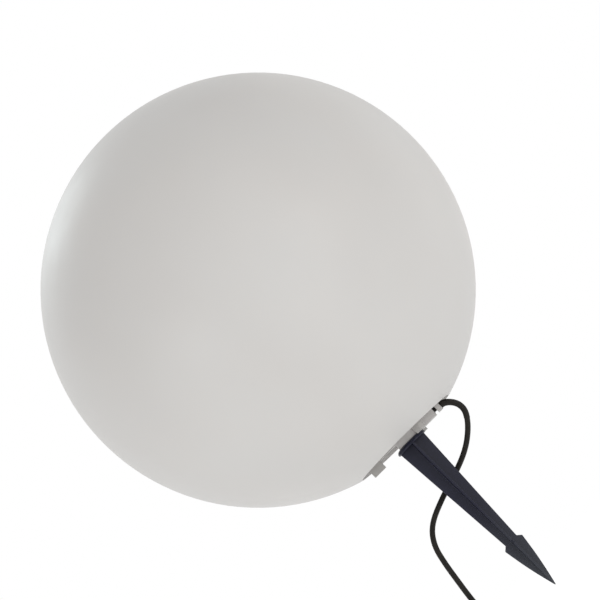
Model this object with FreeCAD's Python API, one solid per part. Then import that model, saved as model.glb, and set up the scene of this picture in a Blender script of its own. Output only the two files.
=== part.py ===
import FreeCAD
import Part
import math
import os

# Garden globe light: a white ball on a bayonet base cap, pushed onto a ground spike, with a mains cable.
# Millimetres. +Z is up along the light's axis, Z = 0 is the ground line under the feet.
# +X is the side where the cable leaves the base.

V = FreeCAD.Vector
UP = V(0, 0, 1)

# Globe
globe_radius = 250.0
globe_wall = 3.0
rim_radius = 71.0
rim_height = 8.4
rim_wall = 2.6
rim_chamfer = 0.8
rim_step_depth = 0.6
rim_step_height = 2.6
neck_bore_radius = 58.0
neck_top = 34.5

# Bayonet between globe and cap
tab_count = 3
tab_angle = 28.0
tab_thickness = 3.0
tab_start = 34.0
twist_to_open = 34.0
ledge_bore_radius = 53.0
ledge_thickness = 3.0
ledge_height = 28.0
stop_angle = 5.0
stop_clearance_angle = 0.5
seat_clearance = 0.3
slide_clearance = 0.5

# Base cap
cap_underside = 12.7
cap_thickness = 2.5
cap_clearance = 0.4
collar_wall = 3.0
gasket_radius = 62.5
gasket_width = 4.0
gasket_thickness = 1.6
gasket_groove = 1.0

# Feet under the cap
foot_angles = (180.0, 66.0, 294.0)
foot_inner_radius = 39.4
foot_outer_radius = 56.6
foot_width = 7.0
foot_round = 1.2

# Socket for the spike's peg
socket_bore_radius = 11.2
socket_wall = 3.2
socket_depth = 39.2
socket_roof = 2.5
socket_mouth = 2.8

# Cable, its housing under the cap and its guide post
cable_diameter = 6.6
cable_height = 8.3
housing_start = 14.0
housing_end = 44.2
housing_half_width = 8.5
housing_bottom = 1.5
housing_wall = 3.0
pocket_start = 15.2
pocket_half_width = 5.2
post_start = 48.0
post_end = 54.2
post_half_width = 6.0
post_bottom = 1.7
post_hole_radius = 3.9
gland_radius = 4.6
gland_flange = 5.0
gland_flange_thickness = 1.2
gland_proud = 0.5
gland_clearance = 0.05

# Cable clamp on two bosses beside the housing pocket
clamp_centre = 34.0
clamp_length = 9.0
clamp_half_width = 13.0
clamp_thickness = 2.5
clamp_rib_length = 5.0
clamp_rib_clearance = 0.3
clamp_screw_offset = 9.5
boss_radius = 3.2
boss_height = 4.8
screw_radius = 1.2
screw_hole_clearance = 0.1
screw_head_radius = 2.7
screw_head_height = 1.8

# Pillar that carries the lamp holder
pillar_foot_radius = 25.0
pillar_head_radius = 22.0
pillar_wall = 2.0
pillar_top = 110.0
pillar_roof = 3.0
pillar_hole_radius = 5.1
nipple_radius = 5.0
nipple_bore_radius = 3.8
nut_width = 14.0
nut_thickness = 3.0
pillar_slot_half_width = 4.5
pillar_slot_height = 9.0
lug_angles = (60.0, 180.0, 300.0)
lug_radius = 31.5
lug_half_width = 6.0
lug_thickness = 3.0

# Lamp holder for a 27 mm screw cap
holder_radius = 21.0
holder_foot_radius = 15.0
holder_wall = 2.4
holder_height = 54.0
holder_collar_height = 12.0
holder_collar_step = 1.6
insert_height = 10.0
insert_seat = 12.0
insert_hole_offset = 3.7
screw_shell_radius = 14.0
screw_shell_wall = 0.4
screw_shell_height = 23.0
contact_width = 6.0
contact_thickness = 0.5
contact_lift = 2.2

# LED bulb with a 27 mm cap, 109 mm long
bulb_radius = 30.0
bulb_length = 109.0
bulb_cap_radius = 13.1
bulb_cap_wall = 0.4
bulb_cap_height = 22.5
bulb_tip_radius = 4.8
bulb_tip_height = 1.1
bulb_insulator_radius = 8.5
bulb_insulator_height = 2.6
bulb_waist = 13.6
bulb_housing_height = 46.0
bulb_diffuser_wall = 1.2
led_board_thickness = 1.6

# Wires inside
wire_diameter = 2.4
wire_spacing = 2.6
inner_bend_radius = 12.0
inner_cable_x = 18.3
inner_cable_top = 48.0

# Ground spike
spike_turn = 6.0
spike_flange_radius = 20.8
spike_flange_drop = 4.2
spike_flange_thickness = 1.1
spike_seat_radius = 14.8
spike_fin_thickness = 2.6
spike_top_radius = 18.2
spike_neck_radius = 8.5
spike_neck_depth = 159.6
spike_barb_radius = 13.8
spike_barb_depth = 163.8
spike_depth = 230.2
spike_point_radius = 0.6
peg_clearance = 0.3
peg_height = 38.0
peg_chamfer = 2.0

# Cable route from the gland, chosen by hand
cable_route = (
    (44.7, 0.0, 8.3),
    (55.4, 0.0, 8.3),
    (65.3, 0.2, 1.9),
    (71.3, 1.2, -8.4),
    (69.9, 3.4, -20.4),
    (57.7, 8.0, -35.5),
    (37.8, 16.0, -50.0),
    (9.9, 23.0, -60.6),
    (-20.6, 22.5, -69.9),
    (-49.4, 16.0, -82.4),
    (-64.0, 10.0, -101.2),
    (-69.6, 6.5, -125.6),
    (-73.2, 4.6, -149.8),
    (-75.9, 2.0, -168.6),
    (-77.4, -4.0, -185.6),
    (-78.6, -16.0, -197.8),
    (-79.0, -34.0, -203.8),
    (-79.0, -50.0, -203.8),
)

# Coil of the cable that lies beside the spike's point
coil_layers = 4
coil_turns_per_layer = 2.375
coil_pitch = 7.2
coil_inner_radius = 34.0
tie_angle = 250.0
tie_width = 5.0
tie_thickness = 0.9
tie_clearance = 0.35

# Cable end and plug
tail_route = (
    (0.0, 0.0, 0.0),
    (0.0, 14.0, 0.0),
    (-0.9, 31.0, 4.2),
    (0.0, 47.0, 8.3),
    (0.0, 61.0, 8.3),
)
relief_length = 32.0
relief_radius = 6.2
relief_tip_radius = 4.4
plug_length = 36.0
plug_width = 37.0
plug_height = 26.0
plug_neck_width = 17.0
plug_pin_radius = 2.4
plug_pin_length = 19.0
plug_pin_spacing = 19.0

# Worked out from the sizes above
globe_centre = rim_height + math.sqrt(globe_radius ** 2 - rim_radius ** 2)
cap_top = cap_underside + cap_thickness
gasket_top = cap_top - gasket_groove + gasket_thickness
rim_bore_radius = rim_radius - rim_wall
collar_radius = ledge_bore_radius - slide_clearance
tab_height = ledge_height + ledge_thickness + seat_clearance
socket_outer_radius = socket_bore_radius + socket_wall
socket_top = socket_mouth + socket_depth
holder_bottom = pillar_top
insert_bottom = holder_bottom + insert_seat
insert_top = insert_bottom + insert_height
bulb_bottom = insert_top + contact_thickness + contact_lift + seat_clearance


def shift(shape, x=0.0, y=0.0, z=0.0):
    moved = shape.copy()
    moved.translate(V(x, y, z))
    return moved


def turned(shape, angle):
    moved = shape.copy()
    moved.rotate(V(0, 0, 0), UP, angle)
    return moved


def block(x0, x1, y0, y1, z0, z1):
    return Part.makeBox(x1 - x0, y1 - y0, z1 - z0, V(x0, y0, z0))


def cylinder(radius, z0, z1, x=0.0, y=0.0):
    return Part.makeCylinder(radius, z1 - z0, V(x, y, z0))


def ring(outer, inner, z0, z1):
    return cylinder(outer, z0, z1).cut(cylinder(inner, z0 - 1, z1 + 1))


def fused(shapes):
    return shapes[0].multiFuse(shapes[1:]).removeSplitter()


def polygon_face(points):
    return Part.Face(Part.makePolygon([V(*p) for p in points] + [V(*points[0])]))


def full_turn(face):
    """Turn a face about the axis into a solid that is the right way out."""
    solid = face.revolve(V(0, 0, 0), UP, 360)
    if solid.Volume < 0:
        solid.reverse()
    return solid


def revolved(points):
    """Turn a closed outline of (radius, height) points about the axis."""
    return full_turn(polygon_face([(r, 0, z) for r, z in points]))


def sector(outer, inner, z0, z1, angle, centre_angle):
    """A ring piece that spans an angle, centred on a direction."""
    piece = Part.makeCylinder(outer, z1 - z0, V(0, 0, z0), UP, angle)
    piece = piece.cut(cylinder(inner, z0 - 1, z1 + 1))
    return turned(piece, centre_angle - angle / 2)


def at_angles(shape, angles):
    return [turned(shape, angle) for angle in angles]


def arc_through(start, middle, end):
    return Part.Arc(start, middle, end).toShape()


def corner_arc(before, corner, after):
    """Tangent arc at a corner of a route, as large as its two runs allow."""
    into = (corner - before).normalize()
    out = (after - corner).normalize()
    half_turn = into.getAngle(out) / 2
    reach = 0.45 * min(before.distanceToPoint(corner), corner.distanceToPoint(after))
    radius = reach / math.tan(half_turn)
    inward = (out - into).normalize()
    middle = corner + inward * (radius / math.cos(half_turn) - radius)
    return corner - into * reach, middle, corner + out * reach, radius


def route_wire(points):
    """Straight runs joined by tangent arcs."""
    points = [V(*p) for p in points]
    edges = []
    radii = []
    here = points[0]
    for before, corner, after in zip(points, points[1:], points[2:]):
        start, middle, end, radius = corner_arc(before, corner, after)
        edges.append(Part.LineSegment(here, start).toShape())
        edges.append(arc_through(start, middle, end))
        radii.append(radius)
        here = end
    edges.append(Part.LineSegment(here, points[-1]).toShape())
    return Part.Wire(edges), radii


def tube(path, diameter, start, direction):
    section = Part.Wire(Part.makeCircle(diameter / 2, start, direction))
    return path.makePipeShell([section], True, False)


def route_tube(name, points, diameter):
    path, radii = route_wire(points)
    start = V(*points[0])
    solid = tube(path, diameter, start, V(*points[1]) - start)
    expected = math.pi * (diameter / 2) ** 2 * path.Length
    print(name, "length", round(path.Length, 1), "volume ratio", round(solid.Volume / expected, 5))
    print(name, "radii", [round(r, 1) for r in radii])
    return solid


def sphere_point(radius, height):
    """Distance from the axis of a ball's wall at a height."""
    return math.sqrt(radius ** 2 - (height - globe_centre) ** 2)


def globe_outline():
    inner = globe_radius - globe_wall
    wall_outer = rim_bore_radius + globe_wall
    wall_meets = globe_centre - math.sqrt(inner ** 2 - wall_outer ** 2)
    land_top = gasket_top + globe_wall
    chamfer_top = rim_height + rim_chamfer
    chamfer_radius = sphere_point(globe_radius, chamfer_top)
    step_radius = rim_bore_radius + rim_step_depth
    step_top = rim_height + rim_step_height
    points = (
        (chamfer_radius, chamfer_top),
        (rim_radius - rim_chamfer / 2, rim_height),
        (step_radius, rim_height),
        (step_radius, step_top),
        (rim_bore_radius, step_top),
        (rim_bore_radius, gasket_top),
        (neck_bore_radius, gasket_top),
        (neck_bore_radius, neck_top),
        (neck_bore_radius + globe_wall, neck_top),
        (neck_bore_radius + globe_wall, land_top),
        (wall_outer, land_top),
        (wall_outer, wall_meets),
    )
    corners = [V(r, 0, z) for r, z in points]
    edges = [Part.LineSegment(a, b).toShape() for a, b in zip(corners, corners[1:])]
    side = V(inner, 0, globe_centre)
    top = V(0, 0, globe_centre + inner)
    edges.append(arc_through(corners[-1], side, top))
    outer_top = V(0, 0, globe_centre + globe_radius)
    edges.append(Part.LineSegment(top, outer_top).toShape())
    outer_side = V(globe_radius, 0, globe_centre)
    edges.append(arc_through(outer_top, outer_side, corners[0]))
    return Part.Face(Part.Wire(edges))


def bayonet_ledge():
    """Ledge inside the neck, with a gap for each tab and a stop at each end of the twist."""
    ledge = ring(neck_bore_radius + 1, ledge_bore_radius, ledge_height, ledge_height + ledge_thickness)
    gap_angle = tab_angle + 2 * stop_clearance_angle
    stop_top = neck_top
    pieces = []
    gaps = []
    for index in range(tab_count):
        gap_centre = tab_start - twist_to_open + index * 360.0 / tab_count
        gaps.append(sector(neck_bore_radius, ledge_bore_radius - 1, ledge_height - 1,
                           ledge_height + ledge_thickness + 1, gap_angle, gap_centre))
        open_stop = gap_centre - gap_angle / 2 - stop_angle / 2
        closed_stop = gap_centre + twist_to_open + gap_angle / 2 + stop_angle / 2
        for stop in (open_stop, closed_stop):
            pieces.append(sector(neck_bore_radius + 1, ledge_bore_radius, ledge_height,
                                 stop_top, stop_angle, stop))
    return fused([ledge.cut(Part.makeCompound(gaps))] + pieces)


def globe_shell():
    return full_turn(globe_outline()).fuse(bayonet_ledge()).removeSplitter()


def foot():
    half = foot_width / 2
    body = block(foot_inner_radius, foot_outer_radius, -half, half, 0, cap_underside + 1)
    upright = [e for e in body.Edges if abs(e.tangentAt(e.FirstParameter).z) > 0.9]
    return body.makeFillet(foot_round, upright)


def cable_housing():
    """Block under the cap that the cable leaves through, with a guide post after a short gap."""
    housing = block(housing_start - 2, housing_end, -housing_half_width, housing_half_width,
                    housing_bottom, cap_underside + 1)
    post = block(post_start, post_end, -post_half_width, post_half_width,
                 post_bottom, cap_underside + 1)
    hole = Part.makeCylinder(post_hole_radius, post_end - post_start + 2,
                             V(post_start - 1, 0, cable_height), V(1, 0, 0))
    return fused([housing, post.cut(hole)])


def housing_pocket():
    """Hollow in the housing, open to the inside of the light."""
    bottom = housing_bottom + housing_wall - 0.2
    pocket = block(pocket_start, housing_end - housing_wall, -pocket_half_width,
                   pocket_half_width, bottom, cap_top + 1)
    bore = Part.makeCylinder(gland_radius + gland_clearance, housing_wall + 2,
                             V(housing_end - housing_wall - 1, 0, cable_height), V(1, 0, 0))
    return pocket.fuse(bore)


def clamp_bosses():
    bosses = []
    for side in (-1, 1):
        y = side * clamp_screw_offset
        bosses.append(cylinder(boss_radius, cap_top - 0.5, cap_top + boss_height, clamp_centre, y))
    return bosses


def screw_holes():
    """Holes in the cap for the clamp's and the pillar's screws."""
    radius = screw_radius + gland_clearance
    holes = []
    for side in (-1, 1):
        y = side * clamp_screw_offset
        holes.append(cylinder(radius, cap_top + 0.5, cap_top + boss_height + 1, clamp_centre, y))
    lug_hole = cylinder(radius, cap_top - 1.5, cap_top + 1, lug_radius, 0)
    return holes + at_angles(lug_hole, lug_angles)


def bayonet_tabs():
    tabs = []
    for index in range(tab_count):
        angle = tab_start + index * 360.0 / tab_count
        tabs.append(sector(neck_bore_radius - slide_clearance, collar_radius - 1,
                           tab_height, tab_height + tab_thickness, tab_angle, angle))
    return tabs


def base_cap():
    disc = cylinder(rim_bore_radius - cap_clearance, cap_underside, cap_top)
    groove = ring(gasket_radius + gasket_width, gasket_radius, cap_top - gasket_groove, cap_top + 1)
    collar = ring(collar_radius, collar_radius - collar_wall, cap_top - 1, tab_height + tab_thickness)
    socket = cylinder(socket_outer_radius, socket_mouth, socket_top + socket_roof)
    bore = cylinder(socket_bore_radius, socket_mouth - 1, socket_top)
    body = fused([disc.cut(groove), collar, socket, cable_housing()] + bayonet_tabs()
                 + at_angles(foot(), foot_angles) + clamp_bosses())
    pocket = housing_pocket().cut(cylinder(socket_outer_radius, -1, cap_top + 2))
    flange_room = cylinder(spike_flange_radius + slide_clearance, -1, socket_mouth)
    return body.cut(Part.makeCompound([bore, pocket] + screw_holes())).cut(flange_room)


def rim_gasket():
    return ring(gasket_radius + gasket_width - 0.3, gasket_radius + 0.3,
                cap_top - gasket_groove, gasket_top)


def cable_gland():
    """Rubber grommet in the housing's end wall, with a flange on the inside."""
    bore = cable_diameter / 2 + gland_clearance
    inner_face = housing_end - housing_wall
    along = V(1, 0, 0)
    sleeve = Part.makeCylinder(gland_radius, housing_wall + gland_proud,
                               V(inner_face, 0, cable_height), along)
    flange = Part.makeCylinder(gland_flange, gland_flange_thickness,
                               V(inner_face - gland_flange_thickness, 0, cable_height), along)
    flange = flange.common(block(0, 100, -pocket_half_width, pocket_half_width,
                                 housing_bottom + housing_wall, cap_top))
    hole = Part.makeCylinder(bore, 20, V(inner_face - 10, 0, cable_height), along)
    return sleeve.fuse(flange).cut(hole).removeSplitter()


def cable_clamp():
    seat = cap_top + boss_height
    x0 = clamp_centre - clamp_length / 2
    x1 = clamp_centre + clamp_length / 2
    plate = block(x0, x1, -clamp_half_width, clamp_half_width, seat, seat + clamp_thickness)
    corners = [e for e in plate.Edges if abs(e.tangentAt(e.FirstParameter).z) > 0.9]
    plate = plate.makeFillet(2.5, corners)
    half = clamp_rib_length / 2
    rib_half_width = pocket_half_width - clamp_rib_clearance
    cable_top = cable_height + cable_diameter / 2
    rib = block(clamp_centre - half, clamp_centre + half, -rib_half_width, rib_half_width,
                cable_top - 1.2, seat + 1)
    saddle = Part.makeCylinder(cable_diameter / 2 + gland_clearance, clamp_length * 2,
                               V(x0 - 2, 0, cable_height), V(1, 0, 0))
    clamp = plate.fuse(rib.cut(saddle)).removeSplitter()
    radius = screw_radius + screw_hole_clearance
    holes = [cylinder(radius, seat - 1, seat + clamp_thickness + 1, clamp_centre,
                      side * clamp_screw_offset) for side in (-1, 1)]
    return clamp.cut(Part.makeCompound(holes))


def screw(seat, tip):
    """Pan-head screw on the axis, head above its seat, with a cross recess."""
    head = cylinder(screw_head_radius, seat, seat + screw_head_height)
    head = head.makeFillet(0.9, [head.Edges[0]])
    slot = 0.45
    reach = screw_head_radius * 0.6
    cross = block(-reach, reach, -slot, slot, seat + 0.8, seat + screw_head_height + 1)
    cross = cross.fuse(turned(cross, 90))
    return head.fuse(cylinder(screw_radius, tip, seat)).cut(cross).removeSplitter()


def clamp_screws():
    seat = cap_top + boss_height + clamp_thickness
    one = screw(seat, cap_top + 1.0)
    return [shift(one, clamp_centre, side * clamp_screw_offset) for side in (-1, 1)]


def pillar_screws():
    one = shift(screw(cap_top + lug_thickness, cap_top - 1.2), lug_radius)
    return at_angles(one, lug_angles)


def holder_pillar():
    """Tapered tube with a roof, three screw lugs at its foot and a slot for the cable."""
    inner_foot = pillar_foot_radius - pillar_wall
    inner_head = pillar_head_radius - pillar_wall
    roof = pillar_top - pillar_roof
    wall = revolved((
        (inner_foot, cap_top),
        (pillar_foot_radius, cap_top),
        (pillar_head_radius, pillar_top),
        (pillar_hole_radius, pillar_top),
        (pillar_hole_radius, roof),
        (inner_head, roof),
    ))
    reach = lug_radius + lug_half_width
    lug = block(inner_foot + 0.5, lug_radius, -lug_half_width, lug_half_width,
                cap_top, cap_top + lug_thickness)
    lug = lug.fuse(cylinder(lug_half_width, cap_top, cap_top + lug_thickness, lug_radius))
    gusset = polygon_face((
        (pillar_foot_radius - 1, -0.8, cap_top + 1),
        (reach - 9.5, -0.8, cap_top + 1),
        (reach - 9.5, -0.8, cap_top + lug_thickness),
        (pillar_foot_radius - 1, -0.8, cap_top + 14),
    )).extrude(V(0, 1.6, 0))
    lug = lug.fuse(gusset)
    hole = cylinder(screw_radius + screw_hole_clearance, cap_top - 1, cap_top + 9, lug_radius)
    lug = lug.cut(hole)
    slot = block(0, pillar_foot_radius + 5, -pillar_slot_half_width, pillar_slot_half_width,
                 cap_top - 1, cap_top + pillar_slot_height)
    return fused([wall] + at_angles(lug, lug_angles)).cut(slot)


def lamp_holder_shell():
    """Round housing of the lamp holder, open at the top, with a gripping collar."""
    top = holder_bottom + holder_height
    inner = holder_radius - holder_wall
    collar = top - holder_collar_height
    shoulder = holder_bottom + insert_seat - holder_wall
    return revolved((
        (pillar_hole_radius, holder_bottom),
        (holder_foot_radius, holder_bottom),
        (holder_radius - holder_collar_step, shoulder),
        (holder_radius - holder_collar_step, collar),
        (holder_radius, collar + 1),
        (holder_radius, top - 1),
        (holder_radius - 1, top),
        (inner, top),
        (inner - holder_collar_step, top - 1.5),
        (inner - holder_collar_step, insert_bottom),
        (holder_foot_radius - 4, insert_bottom),
        (holder_foot_radius - 4, holder_bottom + holder_wall),
        (pillar_hole_radius, holder_bottom + holder_wall),
    ))


def holder_nipple():
    """Tube through the pillar's roof and the holder's floor."""
    return ring(nipple_radius, nipple_bore_radius, pillar_top - pillar_roof - nut_thickness - 1.5,
                holder_bottom + holder_wall + nut_thickness + 1.0)


def nipple_nuts():
    """Hexagon nuts under the pillar's roof and on the holder's floor."""
    corner = nut_width / math.sqrt(3)
    corners = [(corner * math.cos(math.radians(a)), corner * math.sin(math.radians(a)), 0)
               for a in range(0, 360, 60)]
    nut = polygon_face(corners).extrude(V(0, 0, nut_thickness))
    nut = nut.common(Part.makeCone(nut_width / 2 + 1.0, nut_width / 2 + 0.2, nut_thickness))
    nut = nut.cut(cylinder(nipple_radius + gland_clearance, -1, nut_thickness + 1))
    under_roof = shift(nut, z=pillar_top - pillar_roof - nut_thickness)
    return [under_roof, shift(nut, z=holder_bottom + holder_wall)]


def lamp_holder_insert():
    """Ceramic core with a recess for the centre contact and two wire holes."""
    radius = holder_radius - holder_wall - holder_collar_step - 0.1
    core = cylinder(radius, insert_bottom, insert_top)
    holes = []
    for side in (-1, 1):
        holes.append(cylinder(wire_diameter / 2 + 0.3, insert_bottom - 1, insert_bottom + 6,
                              0, side * insert_hole_offset))
    return core.cut(Part.makeCompound(holes))


def holder_screw_shell():
    inner = screw_shell_radius - screw_shell_wall
    wall = ring(screw_shell_radius, inner, insert_top, insert_top + screw_shell_height)
    flange = ring(screw_shell_radius, inner - 2.5, insert_top, insert_top + screw_shell_wall)
    return wall.fuse(flange).removeSplitter()


def centre_contact():
    """Sprung tongue under the bulb's tip: a flat foot, a rise and a flat top."""
    half = contact_width / 2
    foot_z = insert_top
    top_z = foot_z + contact_lift
    t = contact_thickness
    side = polygon_face((
        (-9.0, -half, foot_z),
        (-3.2, -half, foot_z),
        (-0.8, -half, top_z),
        (4.5, -half, top_z),
        (4.5, -half, top_z + t),
        (-1.1, -half, top_z + t),
        (-3.5, -half, foot_z + t),
        (-9.0, -half, foot_z + t),
    ))
    return side.extrude(V(0, contact_width, 0))


def side_contact():
    """Small angle on the insert that touches the screw shell from outside."""
    t = contact_thickness
    inner = screw_shell_radius + 0.05
    outer = holder_radius - holder_wall - holder_collar_step - 0.6
    foot = block(inner, outer, -2.5, 2.5, insert_top, insert_top + t)
    upright = block(inner, inner + t, -2.5, 2.5, insert_top, insert_top + 7)
    return foot.fuse(upright).removeSplitter()


def bulb_levels():
    """Heights of the bulb's pieces, from its tip upwards."""
    tip_top = bulb_bottom + bulb_tip_height
    insulator_top = tip_top + bulb_insulator_height
    cap_end = insulator_top + bulb_cap_height
    housing_end = cap_end + bulb_housing_height
    return tip_top, insulator_top, cap_end, housing_end


def bulb_tip():
    tip_top = bulb_levels()[0]
    disc = cylinder(bulb_tip_radius, bulb_bottom, tip_top)
    return disc.makeFillet(0.5, [disc.Edges[2]])


def bulb_insulator():
    tip_top, insulator_top = bulb_levels()[:2]
    return revolved((
        (0, tip_top),
        (bulb_tip_radius + 0.4, tip_top),
        (bulb_insulator_radius, insulator_top),
        (0, insulator_top),
    ))


def bulb_cap():
    """Metal screw cap: a thin cup with a tapered bottom."""
    insulator_top, cap_end = bulb_levels()[1:3]
    radius = bulb_cap_radius
    wall = bulb_cap_wall
    return revolved((
        (0, insulator_top),
        (bulb_insulator_radius, insulator_top),
        (radius, insulator_top + 3.5),
        (radius, cap_end),
        (radius - wall, cap_end),
        (radius - wall, insulator_top + 3.5),
        (bulb_insulator_radius - wall, insulator_top + wall),
        (0, insulator_top + wall),
    ))


def bulb_housing():
    """Heat sink body: a plug inside the cap, a waist and a flared bell."""
    cap_end, housing_end = bulb_levels()[2:4]
    plug = bulb_cap_radius - bulb_cap_wall - 0.05
    rim = bulb_radius - 1.0
    start = V(bulb_waist, 0, cap_end + 2.5)
    middle = V(bulb_waist + 6.2, 0, cap_end + 24)
    end = V(rim, 0, housing_end - 3)
    corners = [V(rim, 0, housing_end), V(0, 0, housing_end), V(0, 0, cap_end - 8),
               V(plug, 0, cap_end - 8), V(plug, 0, cap_end), V(bulb_waist, 0, cap_end), start]
    edges = [arc_through(start, middle, end), Part.LineSegment(end, corners[0]).toShape()]
    edges += [Part.LineSegment(a, b).toShape() for a, b in zip(corners, corners[1:])]
    return full_turn(Part.Face(Part.Wire(edges)))


def led_board():
    housing_end = bulb_levels()[3]
    board = cylinder(bulb_radius - 6, housing_end, housing_end + led_board_thickness)
    chip = block(12.5, 15.5, -1.5, 1.5, housing_end + led_board_thickness,
                 housing_end + led_board_thickness + 0.6)
    return fused([board] + at_angles(chip, range(0, 360, 45)))


def bulb_diffuser():
    """Thin dome over the LED board."""
    housing_end = bulb_levels()[3]
    top = bulb_bottom + bulb_length
    rim = bulb_radius - 1.0
    wall = bulb_diffuser_wall

    def half_dome(inset):
        radius = rim - inset
        widest = bulb_radius - inset
        apex = V(0, 0, top - inset)
        side = V(widest, 0, housing_end + (top - housing_end) * 0.27)
        return radius, widest, apex, side

    outer_rim, outer_widest, outer_apex, outer_side = half_dome(0)
    inner_rim, inner_widest, inner_apex, inner_side = half_dome(wall)
    shoulder = 0.72
    height = top - housing_end
    outer_mid = V(outer_widest * shoulder, 0, housing_end + height * 0.80)
    inner_mid = V(inner_widest * shoulder, 0, housing_end + (height - wall) * 0.80)
    outer_start = V(outer_rim, 0, housing_end)
    inner_start = V(inner_rim, 0, housing_end)
    outer_curve = Part.BSplineCurve()
    outer_curve.interpolate(Points=[outer_start, outer_side, outer_mid, outer_apex],
                            Tangents=[V(0, 0, 1), V(0, 0, 1), V(-0.8, 0, 0.6), V(-1, 0, 0)],
                            TangentFlags=[False, True, False, True])
    inner_curve = Part.BSplineCurve()
    inner_curve.interpolate(Points=[inner_start, inner_side, inner_mid, inner_apex],
                            Tangents=[V(0, 0, 1), V(0, 0, 1), V(-0.8, 0, 0.6), V(-1, 0, 0)],
                            TangentFlags=[False, True, False, True])
    edges = [outer_curve.toShape(), Part.LineSegment(outer_apex, inner_apex).toShape(),
             inner_curve.toShape(), Part.LineSegment(inner_start, outer_start).toShape()]
    outline = Part.Wire(Part.__sortEdges__(edges))
    return full_turn(Part.Face(outline))


def inner_cable():
    """Cable from the gland's outer face, along the pocket and up into the pillar."""
    start = V(housing_end + gland_proud, 0, cable_height)
    bend_start = V(inner_cable_x + inner_bend_radius, 0, cable_height)
    centre = V(inner_cable_x + inner_bend_radius, 0, cable_height + inner_bend_radius)
    diagonal = inner_bend_radius / math.sqrt(2)
    bend_middle = centre + V(-diagonal, 0, -diagonal)
    bend_end = V(inner_cable_x, 0, cable_height + inner_bend_radius)
    top = V(inner_cable_x, 0, inner_cable_top)
    path = Part.Wire([Part.LineSegment(start, bend_start).toShape(),
                      arc_through(bend_start, bend_middle, bend_end),
                      Part.LineSegment(bend_end, top).toShape()])
    return tube(path, cable_diameter, start, V(-1, 0, 0))


def wire_points(side):
    """Route of one conductor from the sheath's end to its hole in the insert."""
    y = side * wire_spacing / 2
    hole_y = side * insert_hole_offset
    return (
        (inner_cable_x, y, inner_cable_top),
        (inner_cable_x, y, inner_cable_top + 11),
        (inner_cable_x - 6.5, y + side * 0.8, inner_cable_top + 27),
        (2.6, side * 2.0, inner_cable_top + 44),
        (0.0, side * 1.6, pillar_top - 9.0),
        (0.0, side * 1.8, holder_bottom + 4.6),
        (0.0, hole_y - side * 0.6, insert_bottom - 3.0),
        (0.0, hole_y, insert_bottom + 3.0),
    )


def spike_fins(z0, z1):
    """Plus-shaped prism."""
    half = spike_fin_thickness / 2
    reach = spike_flange_radius + 5
    blade = block(-reach, reach, -half, half, z0, z1)
    return blade.fuse(turned(blade, 90)).removeSplitter()


def spike_outline():
    """Outer shape of the spike below its flange."""
    top = socket_mouth - spike_flange_drop
    return revolved((
        (0, top),
        (spike_top_radius, top),
        (spike_neck_radius, -spike_neck_depth),
        (spike_barb_radius, -spike_barb_depth),
        (spike_point_radius, -spike_depth),
        (0, -spike_depth),
    ))


def spike_dome(inset, edge_bottom):
    """Solid dome, set in all round: a flat seat under the socket's mouth and a rounded fall to its edge."""
    seat = socket_mouth - inset
    edge_top = socket_mouth - spike_flange_drop - inset
    seat_end = V(spike_seat_radius, 0, seat)
    shoulder = V(spike_seat_radius + 3.8 - inset, 0, seat - 1.6)
    edge = V(spike_flange_radius - inset, 0, edge_top)
    corners = [edge, V(spike_flange_radius - inset, 0, edge_bottom), V(0, 0, edge_bottom),
               V(0, 0, seat), seat_end]
    edges = [Part.LineSegment(a, b).toShape() for a, b in zip(corners, corners[1:])]
    edges.append(arc_through(seat_end, shoulder, edge))
    return full_turn(Part.Face(Part.Wire(edges)))


def spike_peg():
    """Peg above the flange that goes into the socket."""
    radius = socket_bore_radius - peg_clearance
    half = spike_fin_thickness / 2
    envelope = revolved((
        (0, socket_mouth - 1),
        (radius, socket_mouth - 1),
        (radius, peg_height - peg_chamfer),
        (radius - peg_chamfer, peg_height),
        (0, peg_height),
    ))
    blade = block(-radius - 1, radius + 1, -half, half, socket_mouth - 1, peg_height)
    blades = blade.fuse(turned(blade, 90)).removeSplitter()
    collar = cylinder(radius, socket_mouth - 1, socket_mouth + 4)
    return blades.common(envelope).fuse(collar)


def ground_spike():
    """Crossed fins from the point up into a thin flange that is open underneath, with the peg above."""
    lip = socket_mouth - spike_flange_drop - spike_flange_thickness
    flange = spike_dome(0, lip).cut(spike_dome(spike_flange_thickness, lip - 1))
    envelope = spike_outline().fuse(spike_dome(spike_flange_thickness / 2, lip))
    fins = spike_fins(-spike_depth - 1, socket_mouth).common(envelope)
    spike = flange.fuse(spike_peg()).fuse(fins).removeSplitter()
    return turned(spike, spike_turn)


def coil_point(angle):
    """Centre line of the coil at a winding angle: in and out in turn, a layer lower each time."""
    sweep = coil_turns_per_layer * 2 * math.pi
    layer = min(int(angle / sweep), coil_layers - 1)
    along = angle - layer * sweep
    inward = layer % 2 == 0
    travel = along if not inward else sweep - along
    radius = coil_inner_radius + coil_pitch * travel / (2 * math.pi)
    drop = layer * coil_pitch
    if layer < coil_layers - 1 and along > sweep - math.pi / 2:
        drop += coil_pitch * (1 - math.cos(along - sweep + math.pi / 2)) / 2
    if layer > 0 and along < math.pi / 2:
        drop -= coil_pitch * (1 - math.cos(math.pi / 2 - along)) / 2
    return radius, drop


def coil_positions(steps_per_turn):
    """Points of the centre line about the coil's own axis, first one on +X, wound clockwise."""
    total = coil_layers * coil_turns_per_layer
    count = int(round(total * steps_per_turn))
    points = []
    for index in range(count + 1):
        angle = index * 2 * math.pi * total / count
        radius, drop = coil_point(angle)
        points.append(V(radius * math.cos(angle), -radius * math.sin(angle), -drop))
    return points


def coil_tangent(points, index):
    if index == 0:
        return V(0, -1, 0)
    if index == len(points) - 1:
        last = points[-1]
        return V(last.y, -last.x, 0).normalize()
    before = points[index] - points[index - 1]
    after = points[index + 1] - points[index]
    return (before.normalize() + after.normalize()).normalize()


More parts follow.
